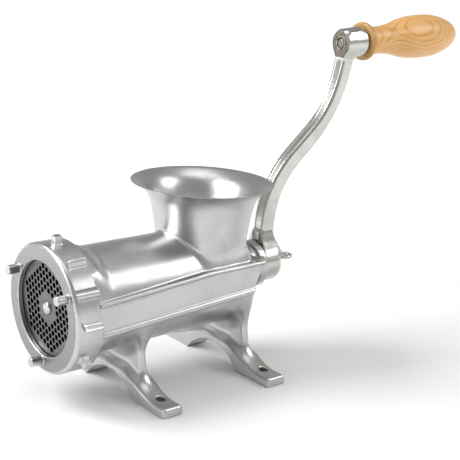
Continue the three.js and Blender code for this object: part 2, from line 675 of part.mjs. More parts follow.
function knife() {
  const half = KNIFE_ARM_WIDTH / 2;
  const arm = polygon([
    [0, -half],
    [KNIFE_REACH, -half * KNIFE_TIP_TRAIL],
    [KNIFE_REACH, half * KNIFE_TIP_LEAD],
    [0, half],
  ]);
  const pieces = [rod(KNIFE_HUB_RADIUS, KNIFE_FRONT, KNIFE_BACK, SHAFT_SIDES)];
  for (let i = 0; i < KNIFE_ARMS; i += 1) {
    const blade = slabAcross(arm, KNIFE_FRONT, KNIFE_BACK);
    pieces.push(blade.rotate([0, KNIFE_TURN + i * (360 / KNIFE_ARMS), 0]));
  }
  const hole = squareBar(STUD_SQUARE + 2 * FACE_GAP, KNIFE_FRONT - OVERCUT, KNIFE_BACK + OVERCUT);
  return join(pieces).subtract(hole).translate([0, 0, AXIS_HEIGHT]);
}

// The stud in the worm's nose: a square for the knife and a round pilot for the plate.
function wormStud() {
  const pilot = PLATE_BORE - RUN_GAP;
  const front = PLATE_FRONT - STUD_PROUD;
  return join([
    turned([
      [0, front],
      [pilot * Math.SQRT1_2, front + STUD_DOME / 3],
      [pilot, front + STUD_DOME],
      [pilot, KNIFE_FRONT],
      [0, KNIFE_FRONT],
    ], SHAFT_SIDES),
    squareBar(STUD_SQUARE, KNIFE_FRONT, KNIFE_BACK),
    rod(STUD_SQUARE / 2, KNIFE_BACK - JOIN_OVERLAP, WORM_FRONT + STUD_SEAT, SHAFT_SIDES),
  ]).translate([0, 0, AXIS_HEIGHT]);
}

// ---- Feed worm --------------------------------------------------------------------------------

// How high the flight stands at a place in one pitch, from 0 at the core to 1 at the crest.
function flightHeight(share) {
  const inFlight = share / FLIGHT_SHARE;
  if (inFlight >= 1) {
    return 0;
  }
  return THREE.MathUtils.clamp(Math.min(inFlight, 1 - inFlight) / FLANK_SHARE, 0, 1);
}

function worm() {
  const length = FLIGHT_BACK - WORM_FRONT;
  const outline = [new THREE.Vector2(0, 0)];
  for (let i = 0; i <= WORM_STEPS; i += 1) {
    outline.push(new THREE.Vector2(1, i));
  }
  outline.push(new THREE.Vector2(0, WORM_STEPS));
  const geometry = new THREE.LatheGeometry(outline, SHAFT_SIDES);
  const position = geometry.attributes.position;
  for (let i = 0; i < position.count; i += 1) {
    const x = position.getX(i);
    const z = position.getZ(i);
    const along = position.getY(i) / WORM_STEPS;
    const turn = Math.atan2(x, z) / (2 * Math.PI) + along * WORM_TURNS;
    const core = THREE.MathUtils.lerp(WORM_CORE_FRONT, WORM_CORE_REAR, along);
    const share = turn - Math.floor(turn + 1e-6);
    const radius = THREE.MathUtils.lerp(core, WORM_RADIUS, flightHeight(Math.max(0, share)));
    position.setXYZ(i, x * radius, WORM_FRONT + along * length, z * radius);
  }
  const shaft = join([
    solid(geometry),
    rod(WORM_FLANGE_RADIUS, FLIGHT_BACK - JOIN_OVERLAP, WORM_BACK, SHAFT_SIDES),
    rod(JOURNAL_RADIUS, WORM_BACK - JOIN_OVERLAP, BOSS_END, SHAFT_SIDES),
    squareBar(TANG_SQUARE, BOSS_END - JOIN_OVERLAP, TANG_BACK),
  ]);
  const studSeat = rod(STUD_SQUARE / 2 + FACE_GAP, WORM_FRONT - OVERCUT,
    WORM_FRONT + STUD_SEAT + JOIN_OVERLAP, SHAFT_SIDES);
  const screwHole = rod(SCREW_RADIUS + RUN_GAP, TANG_BACK - SCREW_DEPTH, TANG_BACK + OVERCUT,
    SCREW_SIDES);
  return cut(shaft, [studSeat, screwHole]).translate([0, 0, AXIS_HEIGHT]);
}

// ---- Crank ------------------------------------------------------------------------------------

function crankWasher() {
  const front = BOSS_END + FACE_GAP;
  return tube(BOSS_NECK_RADIUS + JOIN_OVERLAP, JOURNAL_RADIUS + RUN_GAP, front, front + CRANK_WASHER,
    SHAFT_SIDES, AXIS_HEIGHT);
}

function armPath() {
  const foot = new THREE.Vector3(0, HUB_FRONT + ARM_HALF_Y + ARM_ROOT, AXIS_HEIGHT + HUB_RADIUS);
  const head = new THREE.Vector3(0, TOP_BOSS_FRONT + ARM_HALF_Y,
    HANDLE_HEIGHT - TOP_BOSS_FRONT_RADIUS + ARM_ROOT);
  return new THREE.CubicBezierCurve3(
    foot,
    foot.clone().add(new THREE.Vector3(0, 0, ARM_LOWER_PULL)),
    head.clone().sub(new THREE.Vector3(0, ARM_UPPER_LEAN, ARM_UPPER_PULL)),
    head,
  );
}

function crankArm() {
  const section = new THREE.Shape();
  section.absellipse(0, 0, ARM_HALF_X, ARM_HALF_Y, 0, 2 * Math.PI);
  const arm = solid(new THREE.ExtrudeGeometry(section, {
    steps: ARM_STEPS, curveSegments: 6, bevelEnabled: false, extrudePath: armPath(),
  }));
  const hub = turned([
    [0, HUB_FRONT],
    [HUB_RADIUS, HUB_FRONT],
    [HUB_RADIUS, HUB_BACK - HUB_CHAMFER],
    [HUB_RADIUS - HUB_CHAMFER, HUB_BACK],
    [0, HUB_BACK],
  ], SHAFT_SIDES, 0, AXIS_HEIGHT);
  const block = slabAcross(polygon([
    [-ROOT_BLOCK_HALF_X, AXIS_HEIGHT],
    [ROOT_BLOCK_HALF_X, AXIS_HEIGHT],
    [ROOT_BLOCK_HALF_X, AXIS_HEIGHT + ROOT_BLOCK_TOP - ROOT_BLOCK_CORNER],
    [ARM_HALF_X, AXIS_HEIGHT + ROOT_BLOCK_TOP],
    [-ARM_HALF_X, AXIS_HEIGHT + ROOT_BLOCK_TOP],
    [-ROOT_BLOCK_HALF_X, AXIS_HEIGHT + ROOT_BLOCK_TOP - ROOT_BLOCK_CORNER],
  ]), HUB_FRONT, HUB_FRONT + ROOT_BLOCK_LENGTH);
  const boss = turned([
    [0, TOP_BOSS_FRONT],
    [TOP_BOSS_FRONT_RADIUS, TOP_BOSS_FRONT],
    [TOP_BOSS_REAR_RADIUS, TOP_BOSS_BACK],
    [0, TOP_BOSS_BACK],
  ], SHAFT_SIDES, 0, HANDLE_HEIGHT);
  const cutters = [
    squareBar(TANG_SQUARE + 2 * FACE_GAP, HUB_FRONT - OVERCUT, TANG_BACK + FACE_GAP)
      .translate([0, 0, AXIS_HEIGHT]),
    rod(SCREW_RADIUS + RUN_GAP, HUB_FRONT, HUB_BACK + OVERCUT, SCREW_SIDES, 0, AXIS_HEIGHT),
    rod(SPINDLE_RADIUS + FACE_GAP, TOP_BOSS_FRONT - OVERCUT, TOP_BOSS_BACK + OVERCUT, SCREW_SIDES,
      0, HANDLE_HEIGHT),
  ];
  return cut(join([arm, hub, block, boss]), cutters);
}

// ---- Thumb screw ------------------------------------------------------------------------------

function thumbScrewWasher() {
  return tube(SCREW_WASHER_RADIUS, SCREW_RADIUS + RUN_GAP, SCREW_WASHER_FRONT,
    SCREW_WASHER_FRONT + SCREW_WASHER, SHAFT_SIDES, AXIS_HEIGHT);
}

function thumbScrew() {
  const tip = TANG_BACK - SCREW_DEPTH + JOIN_OVERLAP;
  const eyeCentre = SCREW_COLLAR_BACK + SCREW_NECK + EYE_RADIUS;
  const eye = new THREE.TorusGeometry(EYE_RADIUS, EYE_BAR_RADIUS, 8, SHAFT_SIDES);
  return join([
    turned([
      [0, tip],
      [SCREW_RADIUS, tip],
      [SCREW_RADIUS, SCREW_COLLAR_FRONT],
      [SCREW_COLLAR_RADIUS, SCREW_COLLAR_FRONT],
      [SCREW_COLLAR_RADIUS, SCREW_COLLAR_BACK],
      [EYE_BAR_RADIUS + JOIN_OVERLAP, SCREW_COLLAR_BACK + SCREW_NECK_FLARE],
      [EYE_BAR_RADIUS, SCREW_COLLAR_BACK + SCREW_NECK],
      [0, SCREW_COLLAR_BACK + SCREW_NECK],
    ], SCREW_SIDES),
    solid(eye.translate(0, eyeCentre, 0)),
  ]).translate([0, 0, AXIS_HEIGHT]);
}

// ---- Handle -----------------------------------------------------------------------------------

// The grip's outline behind its collar: a share of the length, then a share of the swell that
// takes the neck to the belly.
const GRIP_SWELL = [
  [0.176, 0],
  [0.316, 0.28],
  [0.427, 0.73],
  [0.545, 0.98],
  [0.649, 1],
  [0.735, 0.95],
  [0.804, 0.77],
  [0.88, 0.44],
  [0.945, 0.02],
];

function gripOutline() {
  const bore = SPINDLE_RADIUS + RUN_GAP;
  const recess = SPINDLE_HEAD_RADIUS + RUN_GAP;
  const collarBack = GRIP_FRONT + GRIP_COLLAR;
  const shoulder = GRIP_COLLAR_RADIUS - GRIP_COLLAR_ROUND;
  const swell = new THREE.SplineCurve([
    new THREE.Vector2(GRIP_NECK_RADIUS + JOIN_OVERLAP, collarBack + JOIN_OVERLAP),
    ...GRIP_SWELL.map(([along, share]) => new THREE.Vector2(
      THREE.MathUtils.lerp(GRIP_NECK_RADIUS, GRIP_BELLY_RADIUS, share),
      GRIP_FRONT + GRIP_LENGTH * along,
    )),
    new THREE.Vector2(GRIP_END_RADIUS, GRIP_BACK),
  ]);
  return [
    [bore, GRIP_FRONT],
    [shoulder, GRIP_FRONT],
    [GRIP_COLLAR_RADIUS, GRIP_FRONT + GRIP_COLLAR / 2],
    [shoulder, collarBack],
    ...swell.getPoints(GRIP_STEPS).map((point) => [point.x, point.y]),
    [recess, GRIP_BACK],
    [recess, GRIP_BACK - HEAD_RECESS],
    [bore, GRIP_BACK - HEAD_RECESS],
    [bore, GRIP_FRONT],
  ];
}

function handleGrip() {
  return turned(gripOutline(), SHAFT_SIDES, 0, HANDLE_HEIGHT);
}

function gripWasher() {
  const front = TOP_BOSS_BACK + FACE_GAP;
  return tube(GRIP_WASHER_RADIUS, SPINDLE_RADIUS + RUN_GAP, front, front + GRIP_WASHER,
    SHAFT_SIDES, HANDLE_HEIGHT);
}

function endWasher() {
  return tube(SPINDLE_HEAD_RADIUS, SPINDLE_RADIUS + RUN_GAP, END_WASHER_FRONT,
    END_WASHER_FRONT + END_WASHER, SHAFT_SIDES, HANDLE_HEIGHT);
}

// The long rivet that holds the grip: peened at the crank, headed in the grip's end.
function handleSpindle() {
  const head = SPINDLE_HEAD_FRONT + SPINDLE_HEAD;
  const peen = TOP_BOSS_FRONT - SPINDLE_PEEN / 2;
  return turned([
    [0, peen],
    [SPINDLE_RADIUS - SPINDLE_PEEN, peen],
    [SPINDLE_RADIUS, peen + SPINDLE_PEEN],
    [SPINDLE_RADIUS, SPINDLE_HEAD_FRONT],
    [SPINDLE_HEAD_RADIUS, SPINDLE_HEAD_FRONT],
    [SPINDLE_HEAD_RADIUS - SPINDLE_PEEN, head - SPINDLE_PEEN / 2],
    [SPINDLE_HEAD_RADIUS - 3 * SPINDLE_PEEN, head],
    [0, head],
  ], SCREW_SIDES, 0, HANDLE_HEIGHT);
}

// ---- Assembly ---------------------------------------------------------------------------------

const PIECES = [
  ['body_casting', bodyCasting, 'tinnedCasting'],
  ['rear_bush', rearBush, 'bushBronze'],
  ['thrust_washer', thrustWasher, 'washerFibre'],
  ['plate_key', () => keyPin(0), 'knifeSteel'],
  ['retaining_ring', retainingRing, 'tinnedCasting'],
  ['cutting_plate', cuttingPlate, 'plateSteel'],
  ['knife', knife, 'knifeSteel'],
  ['worm_stud', wormStud, 'knifeSteel'],
  ['feed_worm', worm, 'tinnedCasting'],
  ['crank_washer', crankWasher, 'washerFibre'],
  ['crank_arm', crankArm, 'tinnedCrank'],
  ['thumb_screw_washer', thumbScrewWasher, 'knifeSteel'],
  ['thumb_screw', thumbScrew, 'knifeSteel'],
  ['handle_spindle', handleSpindle, 'spindleSteel'],
  ['grip_washer', gripWasher, 'spindleSteel'],
  ['grip_end_washer', endWasher, 'spindleSteel'],
  ['handle_grip', handleGrip, 'turnedWood'],
];

const grinder = new THREE.Group();
grinder.position.set(0, -LENGTH_CENTRE, 0);
for (const [name, make, finish] of PIECES) {
  const mesh = new THREE.Mesh(geometryOf(make()), FINISHES[finish]);
  mesh.name = name;
  grinder.add(mesh);
}

export default grinder;
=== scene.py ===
import json
import math

import bmesh
import bpy
import numpy as np
from mathutils import Matrix, Vector


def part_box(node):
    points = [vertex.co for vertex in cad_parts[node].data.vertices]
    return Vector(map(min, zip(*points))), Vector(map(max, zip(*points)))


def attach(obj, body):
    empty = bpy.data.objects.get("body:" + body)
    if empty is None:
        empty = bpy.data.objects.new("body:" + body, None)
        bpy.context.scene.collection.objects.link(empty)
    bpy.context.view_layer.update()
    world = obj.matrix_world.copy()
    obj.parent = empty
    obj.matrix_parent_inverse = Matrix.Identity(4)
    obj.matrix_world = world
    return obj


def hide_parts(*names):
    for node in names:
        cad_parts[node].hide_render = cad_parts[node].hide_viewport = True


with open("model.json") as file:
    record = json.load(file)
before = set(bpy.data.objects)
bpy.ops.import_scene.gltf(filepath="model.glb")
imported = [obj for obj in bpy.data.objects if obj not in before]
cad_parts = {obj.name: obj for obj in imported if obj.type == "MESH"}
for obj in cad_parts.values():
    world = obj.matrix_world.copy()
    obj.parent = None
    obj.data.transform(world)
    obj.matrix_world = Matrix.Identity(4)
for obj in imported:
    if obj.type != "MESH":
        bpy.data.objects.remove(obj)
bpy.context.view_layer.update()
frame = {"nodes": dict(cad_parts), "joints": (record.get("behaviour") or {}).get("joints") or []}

MM = 0.001
JOINTS = {joint["name"]: joint for joint in frame["joints"]}
RING_FACE = JOINTS["ring_turn"]["pos_m"][1] / MM
AXIS = JOINTS["crank_turn"]["pos_m"][2] / MM
HANDLE_AXIS = JOINTS["grip_spin"]["pos_m"][2] / MM


def span(node):
    """A CAD node's lowest and highest corner, in millimetres on the bench."""
    return [(corner.x / MM, corner.y / MM - RING_FACE, corner.z / MM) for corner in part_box(node)]


def bench_to_frame(points):
    return (np.asarray(points, float) + (0, RING_FACE, 0)) * MM


BODY_LOW, BODY_HIGH = span("body_casting")
RING_LOW, RING_HIGH = span("retaining_ring")
ARM_LOW, ARM_HIGH = span("crank_arm")
PLATE_LOW, PLATE_HIGH = span("cutting_plate")
WORM_LOW, WORM_HIGH = span("feed_worm")
GRIP_LOW, GRIP_HIGH = span("handle_grip")
SCREW_LOW, SCREW_HIGH = span("thumb_screw")

# ---- Forms --------------------------------------------------------------------------------------
# A form is a function that says how far a point is outside a shape, in millimetres.


def ease(start, end, value):
    """Climbs smoothly from 0 at start to 1 at end."""
    share = np.clip((value - start) / (end - start), 0, 1)
    return share * share * (3 - 2 * share)


def join(a, b, fillet):
    """Both shapes as one, with a fillet of that radius in the corner between them."""
    corner = np.hypot(np.maximum(fillet - a, 0), np.maximum(fillet - b, 0))
    return np.maximum(fillet, np.minimum(a, b)) - corner


def trim(a, b, rounding):
    """What lies in both shapes, with the edge between them rounded."""
    corner = np.hypot(np.maximum(rounding + a, 0), np.maximum(rounding + b, 0))
    return np.minimum(-rounding, np.maximum(a, b)) + corner


def carve(a, b, rounding):
    """The first shape without the second."""
    return trim(a, -b, rounding)


def ball_ended_bar(point, start, end, radius):
    """A round bar between two points, each given as arrays or numbers."""
    to_point = [p - s for p, s in zip(point, start)]
    bar = [e - s for e, s in zip(end, start)]
    share = sum(p * b for p, b in zip(to_point, bar)) / sum(b * b for b in bar)
    share = np.clip(share, 0, 1)
    return np.sqrt(sum((p - share * b) ** 2 for p, b in zip(to_point, bar))) - radius


# ---- Wrapping a mesh round a form -----------------------------------------------------------------


def slope_of(form, points, step=0.05):
    """How the form changes along x, y and z at each point."""
    rises = []
    for axis in range(3):
        shift = np.zeros(3)
        shift[axis] = step
        ahead = form(*(points + shift).T)
        behind = form(*(points - shift).T)
        rises.append((ahead - behind) / (2 * step))
    return np.stack(rises, axis=1)


def settle(form, points, reach, rounds=3):
    """Moves points onto the form's surface and gives the outward directions there."""
    points = points.copy()
    for _ in range(rounds):
        slope = slope_of(form, points)
        steep = np.maximum((slope ** 2).sum(axis=1), 0.05)
        move = slope * (form(*points.T) / steep)[:, None]
        length = np.linalg.norm(move, axis=1)
        points -= move * np.minimum(1, reach / np.maximum(length, 1e-9))[:, None]
    slope = slope_of(form, points)
    return points, slope / np.maximum(np.linalg.norm(slope, axis=1), 1e-9)[:, None]


def wrap(form, low, high, cell, row_lift=None):
    """An even four-sided mesh on the form's surface, in the box from low to high.

    cell is the mesh size along x, y and z. row_lift(y, z) bends the level rows of the mesh."""
    low = np.array(low) - 1.7 * np.array(cell)
    high = np.array(high) + 1.7 * np.array(cell)
    row_lift = row_lift or (lambda y, z: 0 * z)
    counts = [int(math.ceil((h - l) / c)) + 1 for l, h, c in zip(low, high, cell)]
    x, y, z = (low[a] + cell[a] * np.arange(counts[a], dtype=np.float32) for a in range(3))
    grid_x, grid_y, grid_z = np.meshgrid(x, y, z, indexing="ij")
    grid_z = grid_z + row_lift(grid_y, grid_z)
    value = form(grid_x, grid_y, grid_z).astype(np.float32)
    inside = value < 0

    corners = [(i, j, k) for i in (0, 1) for j in (0, 1) for k in (0, 1)]
    size = [n - 1 for n in counts]
    shifted = [inside[i:i + size[0], j:j + size[1], k:k + size[2]] for i, j, k in corners]
    filled = sum(s.astype(np.int8) for s in shifted)
    mixed = (filled > 0) & (filled < 8)
    cells = np.argwhere(mixed)
    number = np.full(mixed.shape, -1, np.int64)
    number[mixed] = np.arange(len(cells))

    at_corner = {c: value[tuple((cells + c).T)] for c in corners}
    total = np.zeros((len(cells), 3))
    hits = np.zeros(len(cells))
    for axis in range(3):
        for corner in corners:
            if corner[axis]:
                continue
            other = tuple(1 if a == axis else corner[a] for a in range(3))
            v0, v1 = at_corner[corner], at_corner[other]
            crossed = (v0 < 0) != (v1 < 0)
            share = np.where(crossed, v0 / np.where(crossed, v0 - v1, 1), 0)
            place = np.tile(np.array(corner, float), (len(cells), 1))
            place[:, axis] = share
            total += place * crossed[:, None]
            hits += crossed
    points = low + (cells + total / hits[:, None]) * cell
    points[:, 2] += row_lift(points[:, 1], points[:, 2])

    faces = []
    for axis in range(3):
        b, c = (axis + 1) % 3, (axis + 2) % 3
        first = [slice(1, None)] * 3
        second = [slice(1, None)] * 3
        first[axis], second[axis] = slice(0, -1), slice(1, None)
        start, end = inside[tuple(first)], inside[tuple(second)]
        for outward in (True, False):
            edges = np.argwhere((start & ~end) if outward else (~start & end))
            edges[:, [b, c]] += 1
            ring = []
            for back_b, back_c in ((0, 0), (1, 0), (1, 1), (0, 1)):
                neighbour = edges.copy()
                neighbour[:, b] -= back_b
                neighbour[:, c] -= back_c
                keep = np.minimum(neighbour, np.array(size) - 1)
                ring.append(number[tuple(keep.T)])
            quads = np.stack(ring if outward else ring[::-1], axis=1)
            faces.append(quads[(quads >= 0).all(axis=1)])
    points, outward = settle(form, points, reach=0.6 * min(cell))
    return points, np.concatenate(faces), outward


def make_piece(name, points, faces, materials, normals=None):
    """A named mesh object, with its points given on the bench."""
    mesh = bpy.data.meshes.new(name)
    mesh.from_pydata(bench_to_frame(points).tolist(), [], [list(map(int, f)) for f in faces])
    mesh.validate()
    mesh.update()
    mesh.polygons.foreach_set("use_smooth", [True] * len(mesh.polygons))
    if normals is not None:
        mesh.normals_split_custom_set_from_vertices(normals.tolist())
    for material in materials:
        mesh.materials.append(material)
    piece = bpy.data.objects.new(name, mesh)
    bpy.context.scene.collection.objects.link(piece)
    return piece


def poured(name, form, low, high, cell, materials):
    """A casting: one form, wrapped in a mesh."""
    points, faces, outward = wrap(form, low, high, cell)
    return make_piece(name, points, faces, materials, outward)


def turned(name, outline, height, materials, segments=96):
    """A piece turned on a lathe, from [radius, y] points that run round its half section."""
    mesh = bmesh.new()
    rings = []
    for radius, y in outline:
        if radius < 0.01:
            rings.append([mesh.verts.new((0, y, height))])
            continue
        turn = [2 * math.pi * i / segments for i in range(segments)]
        rings.append([
            mesh.verts.new((radius * math.sin(a), y, height + radius * math.cos(a))) for a in turn
        ])
    closed = outline[0][0] >= 0.01
    pairs = list(zip(rings, rings[1:] + rings[:1])) if closed else list(zip(rings, rings[1:]))
    for ring, following in pairs:
        for i in range(segments):
            j = (i + 1) % segments
            corners = [ring[i % len(ring)], ring[j % len(ring)]]
            corners += [following[j % len(following)], following[i % len(following)]]
            corners = list(dict.fromkeys(corners))
            if len(corners) > 2:
                mesh.faces.new(corners)
    bmesh.ops.recalc_face_normals(mesh, faces=mesh.faces)
    points = [tuple(v.co) for v in mesh.verts]
    mesh.verts.index_update()
    faces = [[v.index for v in f.verts] for f in mesh.faces]
    mesh.free()
    return make_piece(name, points, faces, materials)


def crisp(piece, degrees=32):
    """Keeps edges sharper than this angle crisp, and smooths the rest."""
    piece.data.set_sharp_from_angle(angle=math.radians(degrees))


def rounded(points, radius, steps=4):
    """A closed outline with its corners rounded, without rounding those on the axis."""
    out = []
    count = len(points)
    for i, here in enumerate(points):
        before = np.subtract(points[i - 1], here)
        after = np.subtract(points[(i + 1) % count], here)
        if here[0] < 0.01 or radius <= 0:
            out.append(tuple(here))
            continue
        reach = min(radius, 0.45 * np.hypot(*before), 0.45 * np.hypot(*after))
        start = here + before / np.hypot(*before) * reach
        end = here + after / np.hypot(*after) * reach
        for s in range(steps + 1):
            t = s / steps
            out.append(tuple((1 - t) ** 2 * start + 2 * t * (1 - t) * np.array(here) + t * t * end))
    return out


# ---- Materials ------------------------------------------------------------------------------------


def new_group(name, inputs, outputs):
    """A shader node group. inputs gives each value's name and its usual number."""
    group = bpy.data.node_groups.new(name, "ShaderNodeTree")
    for label, value in inputs.items():
        socket = group.interface.new_socket(label, in_out="INPUT", socket_type="NodeSocketFloat")
        socket.default_value = value
    for label, kind in outputs.items():
        group.interface.new_socket(label, in_out="OUTPUT", socket_type=kind)
    return group, group.nodes.new("NodeGroupInput"), group.nodes.new("NodeGroupOutput")


def add(tree, kind, **settings):
    """A node with its settings. A setting that names an input sets that input's value."""
    node = tree.nodes.new(kind)
    for key, value in settings.items():
        if hasattr(node, key):
            setattr(node, key, value)
        else:
            node.inputs[key.replace("_", " ")].default_value = value
    return node


def math_node(tree, operation, first, second):
    """A Math node fed by sockets or numbers."""
    node = add(tree, "ShaderNodeMath", operation=operation)
    for socket, value in zip(node.inputs, (first, second)):
        if isinstance(value, (int, float)):
            socket.default_value = value
        else:
            tree.links.new(value, socket)
    return node.outputs[0]


def noise(tree, place, scale, detail=4.0, roughness=0.5, distortion=0.0):
    """A noise pattern: scale is in waves per metre."""
    node = add(tree, "ShaderNodeTexNoise", Detail=detail, Roughness=roughness,
               Distortion=distortion)
    tree.links.new(place, node.inputs["Vector"])
    if isinstance(scale, (int, float)):
        node.inputs["Scale"].default_value = scale
    else:
        tree.links.new(scale, node.inputs["Scale"])
    return node.outputs["Fac"]


def cast_skin_group():
    """The surface of a tinned casting: fine sand grain, slow hand-dipped waves and blotches."""
    group, given, result = new_group(
        "cast_skin",
        {"Grain Scale": 900.0, "Grain Depth": 0.02, "Wave Scale": 70.0, "Wave Depth": 0.2},
        {"Normal": "NodeSocketVector", "Blotch": "NodeSocketFloat", "Grain": "NodeSocketFloat"},
    )
    place = group.nodes.new("ShaderNodeTexCoord").outputs["Object"]
    grain = noise(group, place, given.outputs["Grain Scale"], detail=3.0, roughness=0.6)
    wave = noise(group, place, given.outputs["Wave Scale"], detail=2.0, roughness=0.45)
    blotch = noise(group, place, 34.0, detail=5.0, roughness=0.62, distortion=0.6)
    grain_height = math_node(group, "MULTIPLY", grain, given.outputs["Grain Depth"])
    wave_height = math_node(group, "MULTIPLY", wave, given.outputs["Wave Depth"])
    bump = add(group, "ShaderNodeBump", Strength=1.0, Distance=MM)
    group.links.new(math_node(group, "ADD", grain_height, wave_height), bump.inputs["Height"])
    group.links.new(bump.outputs["Normal"], result.inputs["Normal"])
    group.links.new(blotch, result.inputs["Blotch"])
    group.links.new(grain, result.inputs["Grain"])
    return group


def edge_wear_and_hollow_shade_group():
    """Picks out raised edges, where handling keeps the metal bright, and hollows, where painted shade
    darkens the colour.
    """
    group, given, result = new_group(
        "worn_edges_and_hollow_shade",
        {"Edge Start": 0.52, "Edge End": 0.6, "Hollow Start": 0.48, "Hollow End": 0.42},
        {"Edge": "NodeSocketFloat", "Hollow": "NodeSocketFloat"},
    )
    point = group.nodes.new("ShaderNodeNewGeometry").outputs["Pointiness"]
    for label in ("Edge", "Hollow"):
        ramp = add(group, "ShaderNodeMapRange", interpolation_type="SMOOTHSTEP")
        group.links.new(point, ramp.inputs["Value"])
        group.links.new(given.outputs[label + " Start"], ramp.inputs["From Min"])
        group.links.new(given.outputs[label + " End"], ramp.inputs["From Max"])
        group.links.new(ramp.outputs["Result"], result.inputs[label])
    return group


def lathe_marks_group():
    """Fine rings left by a turning tool, round an axis along y at the given height."""
    group, given, result = new_group(
        "lathe_marks",
        {"Axis Height": AXIS * MM, "Ring Pitch": 0.0006, "Depth": 0.01},
        {"Normal": "NodeSocketVector", "Streak": "NodeSocketFloat"},
    )
    place = group.nodes.new("ShaderNodeTexCoord").outputs["Object"]
    split = add(group, "ShaderNodeSeparateXYZ")
    group.links.new(place, split.inputs[0])
    up = math_node(group, "SUBTRACT", split.outputs["Z"], given.outputs["Axis Height"])
    square_x = math_node(group, "MULTIPLY", split.outputs["X"], split.outputs["X"])
    square_z = math_node(group, "MULTIPLY", up, up)
    radius = math_node(group, "POWER", math_node(group, "ADD", square_x, square_z), 0.5)
    where = math_node(group, "ADD", radius, split.outputs["Y"])
    rings = math_node(group, "DIVIDE", where, given.outputs["Ring Pitch"])
    line = add(group, "ShaderNodeTexNoise", noise_dimensions="1D", Scale=1.0, Detail=2.0)
    group.links.new(rings, line.inputs["W"])
    bump = add(group, "ShaderNodeBump", Strength=1.0, Distance=MM)
    height = math_node(group, "MULTIPLY", line.outputs["Fac"], given.outputs["Depth"])
    group.links.new(height, bump.inputs["Height"])
    group.links.new(bump.outputs["Normal"], result.inputs["Normal"])
    group.links.new(line.outputs["Fac"], result.inputs["Streak"])
    return group


CAST_SKIN = cast_skin_group()
EDGE_WEAR_AND_HOLLOW_SHADE = edge_wear_and_hollow_shade_group()
LATHE_MARKS = lathe_marks_group()


def new_material(name, **settings):
    """A material with a Principled shader; settings are the shader's even values."""
    material = bpy.data.materials.new(name)
    material.use_nodes = True
    shader = material.node_tree.nodes["Principled BSDF"]
    for key, value in settings.items():
        shader.inputs[key.replace("_", " ")].default_value = value
    return material, material.node_tree, shader


def place_group(tree, group, **values):
    node = tree.nodes.new("ShaderNodeGroup")
    node.node_tree = group
    for key, value in values.items():
        node.inputs[key.replace("_", " ")].default_value = value
    return node


def ramp(tree, source, low, high, from_low=0.3, from_high=0.7):
    """Turns a mask into a value between low and high."""
    node = add(tree, "ShaderNodeMapRange")
    tree.links.new(source, node.inputs["Value"])
    for label, value in (("From Min", from_low), ("From Max", from_high), ("To Min", low),
                         ("To Max", high)):
        node.inputs[label].default_value = value
    return node.outputs["Result"]


def blend_colours(tree, mask, first, second):
    """A colour between two: each is a colour or another blend's socket."""
    node = add(tree, "ShaderNodeMix", data_type="RGBA")
    tree.links.new(mask, node.inputs[0])
    for socket, value in ((node.inputs[6], first), (node.inputs[7], second)):
        if isinstance(value, tuple):
            socket.default_value = (*value, 1)
        else:
            tree.links.new(value, socket)
    return node.outputs[2]


def tinned_metal(name, bright, dull, smooth, rough, **skin):
    """Tinned cast iron. bright and dull are its two tones, smooth and rough its two finishes."""
    material, tree, shader = new_material(name, Metallic=1.0)
    cast = place_group(tree, CAST_SKIN, **skin)
    edges = place_group(tree, EDGE_WEAR_AND_HOLLOW_SHADE)
    tone = blend_colours(tree, ramp(tree, cast.outputs["Blotch"], 0, 1), dull, bright)
    # Painted shade: hollows darken to 0.62 of the dull tone, standing in for the shade in corners and
    # creases.
    painted_hollow_shade = tuple(0.62 * channel for channel in dull)
    tone = blend_colours(tree, edges.outputs["Hollow"], tone, painted_hollow_shade)
    tone = blend_colours(tree, edges.outputs["Edge"], tone, bright)
    tree.links.new(tone, shader.inputs["Base Color"])
    tree.links.new(ramp(tree, cast.outputs["Blotch"], rough, smooth), shader.inputs["Roughness"])
    tree.links.new(cast.outputs["Normal"], shader.inputs["Normal"])
    return material


def turned_metal(name, bright, dull, smooth, rough, height=AXIS, **marks):
    """Steel or bronze from the lathe, with fine rings round its axis."""
    material, tree, shader = new_material(name, Metallic=1.0)
    lathe = place_group(tree, LATHE_MARKS, Axis_Height=height * MM, **marks)
    tone = blend_colours(tree, ramp(tree, lathe.outputs["Streak"], 0, 1), dull, bright)
    tree.links.new(tone, shader.inputs["Base Color"])
    tree.links.new(ramp(tree, lathe.outputs["Streak"], rough, smooth), shader.inputs["Roughness"])
    tree.links.new(lathe.outputs["Normal"], shader.inputs["Normal"])
    return material


def fibre_and_gap_shade_material():
    """Pressed fibre for the thrust and crank washers; its near-black tone is painted shade for the dark
    gap between the body's boss and the crank hub.
    """
    material, tree, shader = new_material("pressed_fibre_and_gap_shade", Metallic=0.0)
    place = tree.nodes.new("ShaderNodeTexCoord").outputs["Object"]
    speck = noise(tree, place, 2600.0, detail=3.0)
    tone = blend_colours(tree, ramp(tree, speck, 0, 1), (0.012, 0.011, 0.010),
                         (0.035, 0.032, 0.030))
    tree.links.new(tone, shader.inputs["Base Color"])
    tree.links.new(ramp(tree, speck, 0.9, 0.7), shader.inputs["Roughness"])
    return material


RING_STEP = 2.7          # millimetres between growth rings in the grip
HEARTWOOD = (-34, -30)   # the tree's middle from the grip's axis: across and up
GRAIN_SLOPE = -0.14      # how the growth rings run out along the grip


